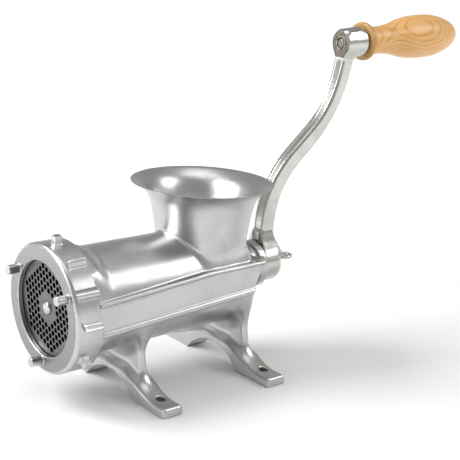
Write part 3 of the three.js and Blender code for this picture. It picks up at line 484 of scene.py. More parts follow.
def wood_material():
    """Honey-coloured hardwood: growth rings, fine fibres, a thin varnish and a darker collar."""
    material, tree, shader = new_material(
        "turned_honey_wood", Coat_Weight=0.35, Coat_Roughness=0.22, Specular_IOR_Level=0.4)
    place = tree.nodes.new("ShaderNodeTexCoord").outputs["Object"]
    split = add(tree, "ShaderNodeSeparateXYZ")
    tree.links.new(place, split.inputs[0])
    sway = noise(tree, place, 14.0, detail=2.0)
    sway_shift = math_node(tree, "MULTIPLY", sway, 0.016)
    across = math_node(tree, "SUBTRACT", split.outputs["X"], HEARTWOOD[0] * MM)
    up = math_node(tree, "SUBTRACT", split.outputs["Z"], (HANDLE_AXIS + HEARTWOOD[1]) * MM)
    squares = math_node(tree, "ADD", math_node(tree, "MULTIPLY", across, across),
                        math_node(tree, "MULTIPLY", up, up))
    run_out = math_node(tree, "MULTIPLY", split.outputs["Y"], GRAIN_SLOPE)
    distance = math_node(tree, "ADD", math_node(tree, "POWER", squares, 0.5), sway_shift)
    distance = math_node(tree, "ADD", distance, run_out)
    rings = math_node(tree, "FRACT", math_node(tree, "DIVIDE", distance, RING_STEP * MM), 0)
    ring_ramp = add(tree, "ShaderNodeValToRGB")
    tree.links.new(rings, ring_ramp.inputs[0])
    early, late = (0.74, 0.41, 0.135, 1), (0.56, 0.26, 0.07, 1)
    ring_ramp.color_ramp.elements[0].color = late
    ring_ramp.color_ramp.elements[1].color = early
    ring_ramp.color_ramp.elements[1].position = 0.16
    for position, colour in ((0.7, early), (0.97, late)):
        ring_ramp.color_ramp.elements.new(position).color = colour

    stretch = add(tree, "ShaderNodeMapping", vector_type="POINT")
    stretch.inputs["Scale"].default_value = (1, 0.06, 1)
    tree.links.new(place, stretch.inputs["Vector"])
    fibre = noise(tree, stretch.outputs["Vector"], 1500.0, detail=3.0)
    streak = noise(tree, stretch.outputs["Vector"], 260.0, detail=3.0)
    tone = blend_colours(tree, ramp(tree, fibre, 0, 0.35, 0.35, 0.75), ring_ramp.outputs[0],
                         (0.52, 0.26, 0.08))
    tone = blend_colours(tree, ramp(tree, streak, 0, 0.4, 0.4, 0.8), tone, (0.82, 0.52, 0.22))

    collar = add(tree, "ShaderNodeMapRange", interpolation_type="SMOOTHSTEP")
    tree.links.new(split.outputs["Y"], collar.inputs["Value"])
    collar_end = (GRIP_LOW[1] + RING_FACE + 6.5) * MM
    collar.inputs["From Min"].default_value = collar_end + 3 * MM
    collar.inputs["From Max"].default_value = collar_end - 1 * MM
    darkened = math_node(tree, "MULTIPLY", collar.outputs["Result"], 0.6)
    tone = blend_colours(tree, darkened, tone, (0.36, 0.20, 0.06))
    tree.links.new(tone, shader.inputs["Base Color"])
    tree.links.new(ramp(tree, fibre, 0.36, 0.5), shader.inputs["Roughness"])
    bump = add(tree, "ShaderNodeBump", Strength=0.5, Distance=0.05 * MM)
    tree.links.new(fibre, bump.inputs["Height"])
    tree.links.new(bump.outputs["Normal"], shader.inputs["Normal"])
    return material


TINNED = tinned_metal("tinned_casting", (0.60, 0.60, 0.597), (0.52, 0.52, 0.517), 0.27, 0.36,
                      Grain_Scale=1000.0, Grain_Depth=0.035, Wave_Scale=80.0, Wave_Depth=0.09)
FACED = turned_metal("turned_ring_face", (0.35, 0.35, 0.35), (0.28, 0.28, 0.28), 0.34, 0.42)
TINNED_ROUGH = tinned_metal("tinned_rough_cast", (0.60, 0.60, 0.595), (0.47, 0.47, 0.465), 0.24, 0.38,
                            Grain_Scale=520.0, Grain_Depth=0.2, Wave_Scale=150.0,
                            Wave_Depth=0.2)
TINNED_CRANK = tinned_metal("tinned_crank", (0.60, 0.60, 0.57), (0.50, 0.50, 0.47), 0.2, 0.32,
                            Grain_Scale=760.0, Grain_Depth=0.05, Wave_Scale=110.0,
                            Wave_Depth=0.12)
BARE_FACE = tinned_metal("bare_boss_face", (0.24, 0.21, 0.18), (0.09, 0.075, 0.062), 0.42, 0.6,
                         Grain_Scale=420.0, Grain_Depth=0.25, Wave_Scale=160.0, Wave_Depth=0.2)
PLATE_STEEL = turned_metal("plate_steel", (0.20, 0.20, 0.205), (0.13, 0.13, 0.135), 0.34, 0.48)
# Painted shade: near-black steel for the plate's hole walls, standing in for the darkness deep in the
# holes.
BORE_PAINTED_SHADE = turned_metal("bore_painted_shade", (0.02, 0.02, 0.02), (0.01, 0.01, 0.01), 0.6, 0.8)
TURNED_STEEL = turned_metal("turned_steel", (0.62, 0.62, 0.62), (0.48, 0.48, 0.48), 0.2, 0.32)
SPINDLE_STEEL = turned_metal("spindle_steel", (0.30, 0.28, 0.26), (0.17, 0.155, 0.14), 0.38, 0.5,
                             height=HANDLE_AXIS)
BRONZE = turned_metal("bush_bronze", (0.70, 0.48, 0.24), (0.55, 0.36, 0.17), 0.25, 0.38)
FIBRE_AND_GAP_SHADE = fibre_and_gap_shade_material()
WOOD = wood_material()

# ---- Body casting -----------------------------------------------------------------------------------

MOUTH = BODY_LOW[1]
BOSS_END = BODY_HIGH[1]
FOOT_END = BODY_HIGH[0]
BOSS_LENGTH = 38
BODY_END = BOSS_END - BOSS_LENGTH
BARREL_RADIUS = 49.4
BOSS_FLANGE_RADIUS = 23.8
LEG_PLACES = (84.0, BODY_END - 2)
PANEL_SIDE = 50.0
PANEL_LEVEL = 149.0      # from here the panel's top edge runs level under the throat
HOPPER_TOP = 190.0
HOPPER_RADIUS = 70.0
HOPPER_MIDDLE = BODY_END - 30
HOPPER_TILT = 0.046
THROAT_TOP = 130.0
THROAT_MIDDLE = BODY_END - 35.5
THROAT_HALF = (44.0, 36.0)
CHAMBER_RADIUS = 43
PLATE_BORE = 49.45
BUSH_BORE = 15.3
ARCH_RADIUS = 54.1
BOLT_OUT = 67            # bolt holes from the middle line
BOLT_HOLE_RADIUS = 4


def barrel_wall(x, y, z):
    """The barrel: a raised band behind the ring, a long plain wall, and a cone to the boss."""
    band = (1 - ease(33, 50, y)) * ease(51, 38, np.abs(x))
    radius = BARREL_RADIUS + 4.9 * band + 0.9 * (1 - ease(60, 130, y))
    cone = ease(BODY_END - 5, BODY_END + 22, y)
    radius = radius + (20.4 - BARREL_RADIUS) * cone
    steep = np.sqrt(1 + (1.75 * 4 * cone * (1 - cone)) ** 2)
    wall = (np.hypot(x, z - AXIS) - radius) / steep
    wall = trim(wall, MOUTH - y, 1)
    flange = trim(np.hypot(x, z - AXIS) - BOSS_FLANGE_RADIUS, np.abs(y - BOSS_END + 4.5) - 4.5, 1.1)
    return join(trim(wall, y - BOSS_END + 2, 1), flange, 1.8)


def panel_top(y, z):
    return z - (AXIS + 13.2 + 0.0595 * (np.minimum(y, PANEL_LEVEL) - 30))


def panel_bottom(y, z):
    return AXIS - 20.2 + 0.0489 * (y - 30) - z


def side_panels(x, y, z):
    """The flat panels on both sides, with a bead along the top and the bottom edge."""
    side = np.abs(x)
    top, bottom = panel_top(y, z), panel_bottom(y, z)
    rear = (y - 207.4 - 0.522 * (z - 86.1)) / 1.13
    ends = trim(rear, 30 - y, 1)
    slab = trim(trim(side - PANEL_SIDE, np.maximum(top, bottom), 1.0), ends, 2)
    fade = ease(138, 156, y)
    upper = np.hypot(side - PANEL_SIDE + 0.3, top + 1.9) - 2.1 + 0.7 * fade
    lower = np.hypot(side - PANEL_SIDE + 0.6, bottom + 3.0) - 3.5
    groove = np.hypot(side - PANEL_SIDE - 0.6, top + 5.0) - 1.3 + 1.1 * fade
    slab = carve(slab, groove, 0.4)
    return join(slab, trim(np.minimum(upper, lower), ends, 1.5), 0.8)


def rim_height(y, z):
    """Height measured square to the tilted rim, which only tilts above the throat."""
    return z + HOPPER_TILT * (y - HOPPER_MIDDLE) * np.clip((z - THROAT_TOP) / 60, 0, 1)


def hopper_reach(x, y, height, wall_low=0.0, wall_high=0.0):
    """How far out a point is at its height: 1 on the wall. The throat has a blunt prow in front
    and soft corners, and turns round towards the rim."""
    share = np.clip((height - THROAT_TOP) / (HOPPER_TOP - THROAT_TOP), 0, 1.05)
    flare = 0.5 * share + 0.5 * share ** 8
    wall = wall_low + (wall_high - wall_low) * share
    half_x = THROAT_HALF[0] + (HOPPER_RADIUS - THROAT_HALF[0]) * flare - wall
    half_y = THROAT_HALF[1] + (HOPPER_RADIUS - THROAT_HALF[1]) * flare - wall
    off_y = y - hopper_middle(share)
    across, along = np.abs(x) / half_x, off_y / half_y
    prow = np.maximum(0.30 * np.sqrt(across ** 2 + 0.02 * along ** 2) - along, 0)
    back = np.maximum(along, 0)
    power = 6.0
    square = (across ** power + prow ** power + back ** power + 1e-12) ** (1 / power)
    roundness = np.clip(share, 0, 1) ** 0.6
    reach = square + (np.hypot(across, along) - square) * roundness
    return reach, np.minimum(half_x, half_y), share


def hopper_middle(share):
    return THROAT_MIDDLE + (HOPPER_MIDDLE - THROAT_MIDDLE) * share


def hopper_wall(x, y, z, wall_low=0.0, wall_high=0.0):
    height = rim_height(y, z)
    reach, half, share = hopper_reach(x, y, height, wall_low, wall_high)
    rise = (0.5 + 4 * np.clip(share, 0, 1) ** 7) * 0.5
    return (reach - 1) * half / np.sqrt(1 + rise ** 2)


def leg_pair(x, y, z, middle):
    """Two feet, the shallow arch between them and the upright web to the barrel."""
    side = np.abs(x)
    off = np.abs(y - middle)
    crown = 9 + 17 * ease(74, 14, side)
    under = ARCH_RADIUS - np.hypot(x, z - 20 + ARCH_RADIUS)
    half = 10 + 2.0 * ease(60, 30, side) + 1.4 * (1 - z / 20)
    strap = trim((z - crown) * 0.93, (off - half) * 0.98, 2.6)
    strap = trim(trim(strap, side - FOOT_END, 3), np.maximum(under, -z), 1.2)
    spread = 16 * np.exp((9 - np.maximum(z, 4)) / 12.5)
    edge = (side - 38 - spread) / np.sqrt(1 + (spread / 12.5) ** 2)
    web = trim(trim(off - 4.2, edge, 3.2), np.maximum(z - 80, 8 - z), 0.5)
    return join(strap, np.maximum(web, under), 9)


def body_form(x, y, z):
    barrel = join(barrel_wall(x, y, z), side_panels(x, y, z), 1.5)
    legs = np.minimum(*(leg_pair(x, y, z, place) for place in LEG_PLACES))
    form = join(barrel, legs, 14)
    throat = np.maximum(hopper_wall(x, y, z), AXIS + 4 - z)
    form = join(form, throat, 4)
    ridge = ball_ended_bar((x, y, z), (0, 27, AXIS + 53.2), (0, 45, AXIS + 50.2), 2.2)
    form = join(form, ridge, 1.5)
    rib = ball_ended_bar((np.abs(x), y, z), (45, 207, 113), (19.5, BOSS_END - 6, 104), 2.4)
    form = join(form, rib, 3)
    form = carve(form, np.maximum(hopper_wall(x, y, z, 6.0, 3.2), AXIS + 22 - z), 1.2)
    bore = np.hypot(x, z - AXIS)
    rear = np.maximum(bore - CHAMBER_RADIUS + 16 * ease(BODY_END - 7, BODY_END, y), y - BODY_END)
    form = carve(form, np.maximum(rear, 20 - y), 0.8)
    form = carve(form, np.maximum(bore - PLATE_BORE, y - 23.9), 0.4)
    form = np.maximum(form, -np.maximum(bore - BUSH_BORE, 190 - y))
    for place in LEG_PLACES:
        bolt = np.hypot((np.abs(x) - BOLT_OUT) / 1.12, y - place - 1.2) - BOLT_HOLE_RADIUS
        form = carve(form, bolt, 0.8)
    return form


FLARE_START = 154.0      # the hopper's flare is built in its own rows above this height
FLARE_COLUMNS = 176


def body_rows(y, z):
    """The barrel's mesh rows follow the panels, and the throat's follow the tilted rim."""
    climb = 0.0489 + 0.0106 * ease(80, 105, z) - 0.1055 * ease(122, 150, z)
    return climb * (y - 150)


def flare_point(angle, height, wall_low, wall_high):
    """The hopper wall's point in one direction, at a height square to the rim."""
    share = min((height - THROAT_TOP) / (HOPPER_TOP - THROAT_TOP), 1.05)
    middle = hopper_middle(share)
    away = np.array([math.sin(angle), math.cos(angle)])
    reach = hopper_reach(away[0], middle + away[1], np.float64(height), wall_low, wall_high)[0]
    x, y = away[0] / reach, middle + away[1] / reach
    tilt = HOPPER_TILT * (y - HOPPER_MIDDLE)
    z = (height + tilt * THROAT_TOP / 60) / (1 + tilt / 60) if height < HOPPER_TOP else height - tilt
    return np.array([x, y, z])


def flare_rows(columns):
    """Rows of points up the outside of the flare, over its thin lip and down the inside."""
    outside, inside = (0.0, 0.0), (6.0, 3.2)
    climb = FLARE_START + 1.5 + (HOPPER_TOP - 0.7 - FLARE_START - 1.5) * np.linspace(0, 1, 30) ** 0.8
    angles = [2 * math.pi * i / columns for i in range(columns)]
    rows = [[flare_point(a, h, *outside) for a in angles] for h in climb]
    outer = np.array([flare_point(a, HOPPER_TOP, *outside) for a in angles])
    inner = np.array([flare_point(a, HOPPER_TOP, *inside) for a in angles])
    for share, drop in ((0.05, 0.28), (0.2, 0.06), (0.4, 0), (0.65, 0), (0.85, 0.08), (0.97, 0.3)):
        rows.append(list(outer + (inner - outer) * share - (0, 0, drop)))
    rows += [[flare_point(a, h, *inside) for a in angles] for h in climb[::-1]]
    return np.array(rows)


def zip_up(lower, upper, points, faces, flip):
    """Joins two loops of points round the throat with a band of triangles."""
    def bearing(i):
        return math.atan2(points[i][0], points[i][1] - THROAT_MIDDLE)

    lower, upper = sorted(lower, key=bearing), sorted(upper, key=bearing)
    i = j = 0
    while i < len(lower) or j < len(upper):
        here, there = lower[i % len(lower)], upper[j % len(upper)]
        next_here, next_there = lower[(i + 1) % len(lower)], upper[(j + 1) % len(upper)]
        turn_here = bearing(next_here) + 2 * math.pi * ((i + 1) // len(lower))
        turn_there = bearing(next_there) + 2 * math.pi * ((j + 1) // len(upper))
        if j >= len(upper) or (i < len(lower) and turn_here <= turn_there):
            face = (here, next_here, there)
            i += 1
        else:
            face = (here, next_there, there)
            j += 1
        faces.append(face[::-1] if flip else face)


def make_body():
    """Barrel, throat and legs in one skin, with the flare's rows sewn on above."""
    top = FLARE_START + 8
    points, faces, outward = wrap(body_form, (BODY_LOW[0], BODY_LOW[1], BODY_LOW[2] - 7),
                                  (BODY_HIGH[0], BODY_HIGH[1], top), (1.5, 1.8, 1.35), body_rows)
    height = rim_height(points[:, 1], points[:, 2])
    kept = (height[faces] < FLARE_START + 0.6).all(axis=1)
    faces = faces[kept]
    edges = np.sort(np.concatenate([faces[:, [k, (k + 1) % 4]] for k in range(4)]), axis=1)
    edges, uses = np.unique(edges, axis=0, return_counts=True)
    border = np.unique(edges[(uses == 1)])
    border = border[height[border] > FLARE_START - 6]
    used = np.unique(faces)
    number = np.full(len(points), -1)
    number[used] = np.arange(len(used))
    points, outward, faces = points[used], outward[used], number[faces]
    border = number[border]

    rows = flare_rows(FLARE_COLUMNS)
    along = np.roll(rows, -1, axis=1) - np.roll(rows, 1, axis=1)
    up = np.gradient(rows, axis=0)
    normals = np.cross(up, along)
    normals /= np.linalg.norm(normals, axis=2)[:, :, None]
    start = len(points)
    count, columns = rows.shape[:2]
    all_faces = [tuple(f) for f in faces]
    for r in range(count - 1):
        for c in range(columns):
            d = (c + 1) % columns
            low, high = start + r * columns, start + (r + 1) * columns
            all_faces.append((low + d, low + c, high + c, high + d))
    all_points = np.concatenate([points, rows.reshape(-1, 3)])
    all_normals = np.concatenate([outward, normals.reshape(-1, 3)])
    reach = hopper_reach(*all_points[border][:, :2].T, np.full(len(border), FLARE_START))[0]
    outer, inner = border[reach > 0.93], border[reach <= 0.93]
    zip_up(outer, range(start, start + columns), all_points, all_faces, True)
    last = start + (count - 1) * columns
    zip_up(inner, range(last, last + columns), all_points, all_faces, False)

    body = make_piece("body_casting_tinned", all_points, all_faces, [TINNED, TINNED_ROUGH],
                      all_normals)
    rough_from = (BODY_END + 4 + RING_FACE) * MM
    for face in body.data.polygons:
        if face.center.y > rough_from:
            face.material_index = 1
    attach(body, "root")
    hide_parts("body_casting")


# ---- Retaining ring ---------------------------------------------------------------------------------

PEG_ANGLES = (63, 183, 303)      # from the top, clockwise seen from the front
LUG_ANGLES = (5, 125, 245)
RING_RADIUS = 61.3
RING_LENGTH = 28
RING_OPENING = 45
RING_THREAD = 53.25
RING_LIP = 5
RING_HIGH_REACH = 69.6           # outer end of the lugs
HOLLOW_HALF_TURN = 33            # degrees to each side of a peg
HOLLOW_DEPTH = 5.4
PEG_CIRCLE = 50.5
PEG_RADIUS = 4.5
PEG_REACH = -RING_LOW[1]
RIB_RADIUS = 4.4


def ring_form(x, y, z):
    """The screw-on ring: a flat lip, hollowed sides, three pegs in front and three lugs round it."""
    radius = np.hypot(x, z - AXIS)
    angle = np.degrees(np.arctan2(x, z - AXIS))
    form = trim(radius - RING_RADIUS, -y, 3.6)
    form = trim(form, y - RING_LENGTH, 1.2)
    for peg in PEG_ANGLES:
        turn = (angle - peg + 180) % 360 - 180
        plan = np.sqrt((turn / HOLLOW_HALF_TURN) ** 2 + (np.maximum(15.5 - y, 0) / 14) ** 4)
        hollow = HOLLOW_DEPTH * ease(1.0, 0.80, plan) * ease(3.4, 5.2, y)
        form = np.maximum(form, (radius - RING_RADIUS + hollow) * 0.9)
    for peg in PEG_ANGLES:
        ring_x, ring_z = math.sin(math.radians(peg)), math.cos(math.radians(peg))
        at_x, at_z = x - PEG_CIRCLE * ring_x, z - AXIS - PEG_CIRCLE * ring_z
        shank = trim(np.hypot(at_x, at_z) - PEG_RADIUS, np.abs(y - 4 + PEG_REACH / 2) - PEG_REACH / 2 - 4,
                     0.9)
        form = join(form, shank, 1.0)
        rib = ball_ended_bar((x, y, z), (56.4 * ring_x, 4.5, AXIS + 56.4 * ring_z),
                             (56.0 * ring_x, 30.0, AXIS + 56.0 * ring_z), RIB_RADIUS)
        rib = trim(rib, y - 27.9, 0.8)
        form = join(form, rib, 1.4)
    for lug in LUG_ANGLES:
        out_x, out_z = math.sin(math.radians(lug)), math.cos(math.radians(lug))
        out = x * out_x + (z - AXIS) * out_z
        beside = x * out_z - (z - AXIS) * out_x
        post = trim(np.abs(beside) - 3.9, np.abs(y - 13) - 3.9, 1.0)
        form = join(form, trim(post, np.maximum(out - RING_HIGH_REACH, 50 - out), 1.2), 2.0)
    opening = np.maximum(radius - RING_OPENING, y - 40)
    thread = np.maximum(radius - RING_THREAD, RING_LIP - y)
    form = carve(form, opening, 0.9)
    return carve(form, thread, 0.5)


def make_ring():
    ring = poured("retaining_ring_tinned", ring_form, RING_LOW, RING_HIGH, (0.95, 0.9, 0.95),
                  [TINNED, FACED])
    for face in ring.data.polygons:
        flat = face.normal.y < -0.97 and abs(face.center.y / MM - RING_FACE) < 0.5
        if flat:
            face.material_index = 1
    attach(ring, "ring")
    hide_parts("retaining_ring")


# ---- Cutting set ------------------------------------------------------------------------------------

PLATE_RADIUS = 49.2
HOLE_RADIUS = 2.6
HOLE_PITCH = 6.54
HOLE_RINGS = range(3, 7)          # six-sided rings of holes, counted from the middle
PATTERN_TURN = math.radians(-20.4)


def circle_spline(curve, x, z, radius, points):
    spline = curve.splines.new("POLY")
    spline.points.add(points - 1)
    for i, point in enumerate(spline.points):
        angle = 2 * math.pi * i / points
        point.co = (x + radius * math.cos(angle), z + radius * math.sin(angle), 0, 1)
    spline.use_cyclic_u = True


def make_plate():
    """The steel plate: a disc with close rows of holes round a plain middle."""
    thickness = PLATE_HIGH[1] - PLATE_LOW[1]
    curve = bpy.data.curves.new("plate_outline", "CURVE")
    curve.dimensions = "2D"
    curve.fill_mode = "BOTH"
    bevel = 0.25
    curve.extrude = thickness / 2 - bevel
    curve.bevel_depth = bevel
    curve.bevel_resolution = 1
    curve.offset = -bevel
    circle_spline(curve, 0, 0, PLATE_RADIUS, 128)
    circle_spline(curve, 0, 0, 6.3, 48)
    most = HOLE_RINGS[-1]
    for along in range(-most, most + 1):
        for across in range(-most, most + 1):
            if max(abs(along), abs(across), abs(along + across)) in HOLE_RINGS:
                cross = PATTERN_TURN + math.pi / 3
                x = along * math.cos(PATTERN_TURN) + across * math.cos(cross)
                z = along * math.sin(PATTERN_TURN) + across * math.sin(cross)
                circle_spline(curve, x * HOLE_PITCH, z * HOLE_PITCH, HOLE_RADIUS, 18)
    maker = bpy.data.objects.new("plate_outline", curve)
    bpy.context.scene.collection.objects.link(maker)
    shape = bpy.data.meshes.new_from_object(maker.evaluated_get(
        bpy.context.evaluated_depsgraph_get()))
    bpy.data.objects.remove(maker)
    middle = (PLATE_LOW[1] + PLATE_HIGH[1]) / 2
    points = [(v.co.x, middle - v.co.z, AXIS + v.co.y) for v in shape.vertices]
    faces = [tuple(p.vertices) for p in shape.polygons]
    plate = make_piece("cutting_plate_drilled", points, faces, [PLATE_STEEL, BORE_PAINTED_SHADE])
    merge = bmesh.new()
    merge.from_mesh(plate.data)
    bmesh.ops.remove_doubles(merge, verts=merge.verts, dist=0.01 * MM)
    bmesh.ops.recalc_face_normals(merge, faces=merge.faces)
    # The hole walls take the near-black painted shade.
    for face in merge.faces:
        place = face.calc_center_median()
        reach = math.hypot(place.x, place.z - AXIS * MM) / MM
        if abs(face.normal.y) < 0.5 and 8 < reach < 46:
            face.material_index = 1
    merge.to_mesh(plate.data)
    merge.free()
    crisp(plate)
    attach(plate, "plate")
    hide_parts("cutting_plate")


WORM_TURNS = 3.25
FLIGHT_SHARE = 0.34
FLIGHT_START, FLIGHT_END = WORM_LOW[1], BODY_END - 7.1


def worm_form(x, y, z):
    """The feed worm: a tapering core with one flight, then the flange, journal and square tang."""
    radius = np.hypot(x, z - AXIS)
    along = (y - FLIGHT_START) / (FLIGHT_END - FLIGHT_START)
    turn = np.arctan2(x, z - AXIS) / (2 * math.pi) + along * WORM_TURNS
    share = (turn % 1.0) / FLIGHT_SHARE
    height = np.clip(np.minimum(share, 1 - share) * 4, 0, 1)
    height = height * height * (3 - 2 * height)
    core = 17 - 3.5 * np.clip(along, 0, 1)
    crest = core + (42 - core) * height
    body = trim((radius - crest) * 0.42, np.maximum(FLIGHT_START - y, y - FLIGHT_END), 0.8)
    flange = trim(radius - 24, np.abs(y - FLIGHT_END - 1.5) - 2.5, 0.8)
    journal = np.maximum(radius - 12, np.maximum(FLIGHT_END - y, y - BOSS_END))
    square = trim(np.abs(x) - 7, np.abs(z - AXIS) - 7, 0.6)
    tang = np.maximum(square, np.maximum(BOSS_END - 3 - y, y - WORM_HIGH[1]))
    form = join(join(body, flange, 1.5), np.minimum(journal, tang), 1)
    screw = np.maximum(radius - 4.95, WORM_HIGH[1] - 14 - y)
    stud = np.maximum(radius - 7.3, y - FLIGHT_START - 13)
    return np.maximum(form, -np.minimum(screw, stud))


def make_worm():
    worm = poured("feed_worm_tinned", worm_form, WORM_LOW, WORM_HIGH, (1.5, 1.3, 1.5),
                  [TINNED_ROUGH])
    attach(worm, "crank")
    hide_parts("feed_worm")


# ---- Crank ------------------------------------------------------------------------------------------

HUB_FRONT = ARM_LOW[1]
HUB_LENGTH = 22
HUB_BACK = HUB_FRONT + HUB_LENGTH
HUB_RADIUS = 20.5
TANG_HALF = 7.3          # the worm's square
SCREW_BORE = 4.95
SPINDLE_BORE = 5.3
TOP_BOSS_LENGTH = 26
TOP_BOSS_BACK = ARM_HIGH[1]
TOP_BOSS_FRONT = TOP_BOSS_BACK - TOP_BOSS_LENGTH
TOP_BOSS_RADIUS = 13.2           # in front; it widens to the rear
ROOT_SLOPE = (math.cos(math.radians(26)), math.sin(math.radians(26)))
ARM_FOOT = (HUB_FRONT + 10.8, AXIS + 20.5)
ARM_HEAD = (TOP_BOSS_FRONT + 7.5, HANDLE_AXIS - 10.2)
LOWER_PULL = (1.3, 110.4)        # how the curve leaves the foot: to the rear and up
UPPER_PULL = (21.6, 112.6)       # how it comes to the head


def arm_line(count=44):
    """Points on the arm's centre line: straight up from the hub, back, and up to the boss."""
    ends = np.array([ARM_FOOT, (ARM_FOOT[0] + LOWER_PULL[0], ARM_FOOT[1] + LOWER_PULL[1]),
                     (ARM_HEAD[0] - UPPER_PULL[0], ARM_HEAD[1] - UPPER_PULL[1]), ARM_HEAD])
    t = np.linspace(0, 1, count)[:, None]
    return ((1 - t) ** 3 * ends[0] + 3 * t * (1 - t) ** 2 * ends[1]
            + 3 * t * t * (1 - t) * ends[2] + t ** 3 * ends[3])


def beside_arm(y, z):
    """How far a point is behind the arm's centre line, and how far up the arm, from 0 to 1."""
    line = arm_line()
    nearest = np.full(y.shape, 1e9)
    behind = np.zeros(y.shape)
    up = np.zeros(y.shape)
    for i, (start, end) in enumerate(zip(line, line[1:])):
        step = end - start
        share = ((y - start[0]) * step[0] + (z - start[1]) * step[1]) / step.dot(step)
        share = np.clip(share, -50 if i == 0 else 0, 50 if i == len(line) - 2 else 1)
        off_y, off_z = y - start[0] - share * step[0], z - start[1] - share * step[1]
        distance = np.hypot(off_y, off_z)
        closer = distance < nearest
        nearest = np.where(closer, distance, nearest)
        side = (off_y * step[1] - off_z * step[0]) / np.hypot(*step)
        behind = np.where(closer, side, behind)
        up = np.where(closer, (i + share) / (len(line) - 1), up)
    return behind, up


def crank_form(x, y, z):
    """The crank: hub with its flat-sided root, the swept arm with a shallow channel, top boss."""
    behind, up = beside_arm(y, z)
    half = 8.4 - 1.1 * ease(0.55, 0.75, up) + 0.3 * ease(0.85, 1, up)
    arm = trim(np.abs(x) - 7.6, np.abs(behind) - half, 3.4)
    depth = 1.5 * ease(0.05, 0.16, up) * (1 - ease(0.7, 0.9, up))
    channel = trim(np.abs(x) - 4.0, half - depth - np.abs(behind), 0.9)
    arm = carve(arm, channel, 0.9)
    arm = np.maximum(arm, np.maximum(-0.02 - up, up - 1.03) * 60)

    radius = np.hypot(x, z - AXIS)
    hub = trim(trim(radius - HUB_RADIUS, y - HUB_BACK, 5.5), HUB_FRONT - y, 1)
    slant = (y - HUB_FRONT - 17.5 + 0.38 * (z - AXIS - 28)) / 1.07
    shoulder = ROOT_SLOPE[0] * np.abs(x) + ROOT_SLOPE[1] * (z - AXIS) - 20.3
    block = trim(trim(shoulder, z - AXIS - 33, 2), np.maximum(slant, HUB_FRONT + 1.6 - y), 1.0)
    block = trim(block, np.maximum(AXIS + 8 - z, np.abs(x) - 20.2), 1)
    low = join(join(hub, block, 1.5), arm, 4)

    boss_radius = np.hypot(x, z - HANDLE_AXIS)
    cone = boss_radius - TOP_BOSS_RADIUS - 2.3 * (y - TOP_BOSS_FRONT) / TOP_BOSS_LENGTH
    boss = trim(cone, np.abs(y - (TOP_BOSS_FRONT + TOP_BOSS_BACK) / 2) - 13, 1.1)
    groove = np.hypot(boss_radius - 8.2, y - TOP_BOSS_FRONT + 0.2) - 0.9
    form = join(low, carve(boss, groove, 0.5), 6)
    square = np.maximum(np.maximum(np.abs(x), np.abs(z - AXIS)) - TANG_HALF, y - HUB_BACK + 2.7)
    bores = np.minimum(square, radius - SCREW_BORE)
    bores = np.minimum(bores, np.maximum(boss_radius - SPINDLE_BORE, 300 - y))
    return np.maximum(form, -bores)


def make_crank():
    crank = poured("crank_arm_tinned", crank_form, ARM_LOW, ARM_HIGH, (0.95, 1.05, 1.05),
                   [TINNED_CRANK, BARE_FACE])
    for face in crank.data.polygons:
        if face.normal.y < -0.8 and face.center.y < (TOP_BOSS_FRONT + 0.6 + RING_FACE) * MM:
            if abs(face.center.z - HANDLE_AXIS * MM) < 14 * MM:
                face.material_index = 1
    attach(crank, "crank")
    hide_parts("crank_arm")


# ---- Thumb screw ------------------------------------------------------------------------------------

EYE_MIDDLE = SCREW_HIGH[1] - 8


def screw_form(x, y, z):
    """The thumb screw: plain shank, collar and a flat eye to turn it by."""
    up = z - AXIS
    radius = np.hypot(x, up)
    shank = trim(radius - 4.7, SCREW_LOW[1] - y, 0.6)
    collar_start = HUB_BACK + 2.2
    collar = trim(radius - 7, np.abs(y - collar_start - 2.5) - 2.5, 1)
    neck = radius - 2.6
    stem = np.maximum(shank, y - collar_start)
    link = np.maximum(neck, np.maximum(collar_start - y, y - EYE_MIDDLE + 6))
    eye = np.hypot(np.hypot(x, y - EYE_MIDDLE) - 6, up) - 2
    return join(join(np.minimum(stem, link), collar, 0.8), eye, 1.2)


def make_thumb_screw():
    screw = poured("thumb_screw_steel", screw_form, SCREW_LOW, SCREW_HIGH, (0.42, 0.5, 0.42),
                   [TURNED_STEEL])
    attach(screw, "thumb_screw")
    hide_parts("thumb_screw")


# ---- Handle -----------------------------------------------------------------------------------------


def grip_outline():
    """Half section of the grip: collar, neck, belly and the bored end."""
    front, back = GRIP_LOW[1], GRIP_HIGH[1]
    collar = rounded([(5.25, front), (19.9, front), (19.9, front + 5.2), (14.9, front + 6.4)], 2.2)
    shape = [(0.09, 14.7), (0.176, 14.4), (0.316, 16.8), (0.427, 20.7), (0.545, 22.7), (0.649, 22.95),
             (0.735, 22.5), (0.804, 20.9), (0.88, 18.1), (0.945, 14.4), (0.98, 11.4), (1.0, 9.0)]
    share = np.array([s for s, _ in shape])
    radius = np.array([r for _, r in shape])
    fine = np.linspace(share[0], 1, 70)
    slopes = np.gradient(radius, share)
    slopes[-1] *= 1.6
    where = np.clip(np.searchsorted(share, fine, side="right") - 1, 0, len(share) - 2)
    width = share[where + 1] - share[where]
    t = (fine - share[where]) / width
    swell = ((2 * t ** 3 - 3 * t ** 2 + 1) * radius[where]
             + (t ** 3 - 2 * t ** 2 + t) * width * slopes[where]
             + (-2 * t ** 3 + 3 * t ** 2) * radius[where + 1]
             + (t ** 3 - t ** 2) * width * slopes[where + 1])
    outside = [(r, front + s * (back - front)) for r, s in zip(swell, fine)]
    return [*collar, *outside, (8.3, back), (7.75, back - 0.5), (7.75, back - 7), (5.25, back - 7)]


def washer(inner, outer, front, back, edge=0.3):
    return rounded([(inner, front), (outer, front), (outer, back), (inner, back)], edge, 3)


def spindle_outline():
    """The long rivet: peened over in front, with a flat head in the grip's end."""
    front = span("handle_spindle")[0][1]
    back = span("handle_spindle")[1][1]
    return rounded([(0, front), (3.9, front), (5, front + 1.1), (5, back - 3), (7.5, back - 3),
                    (7.5, back - 0.8), (5.5, back), (0, back)], 0.6, 3)


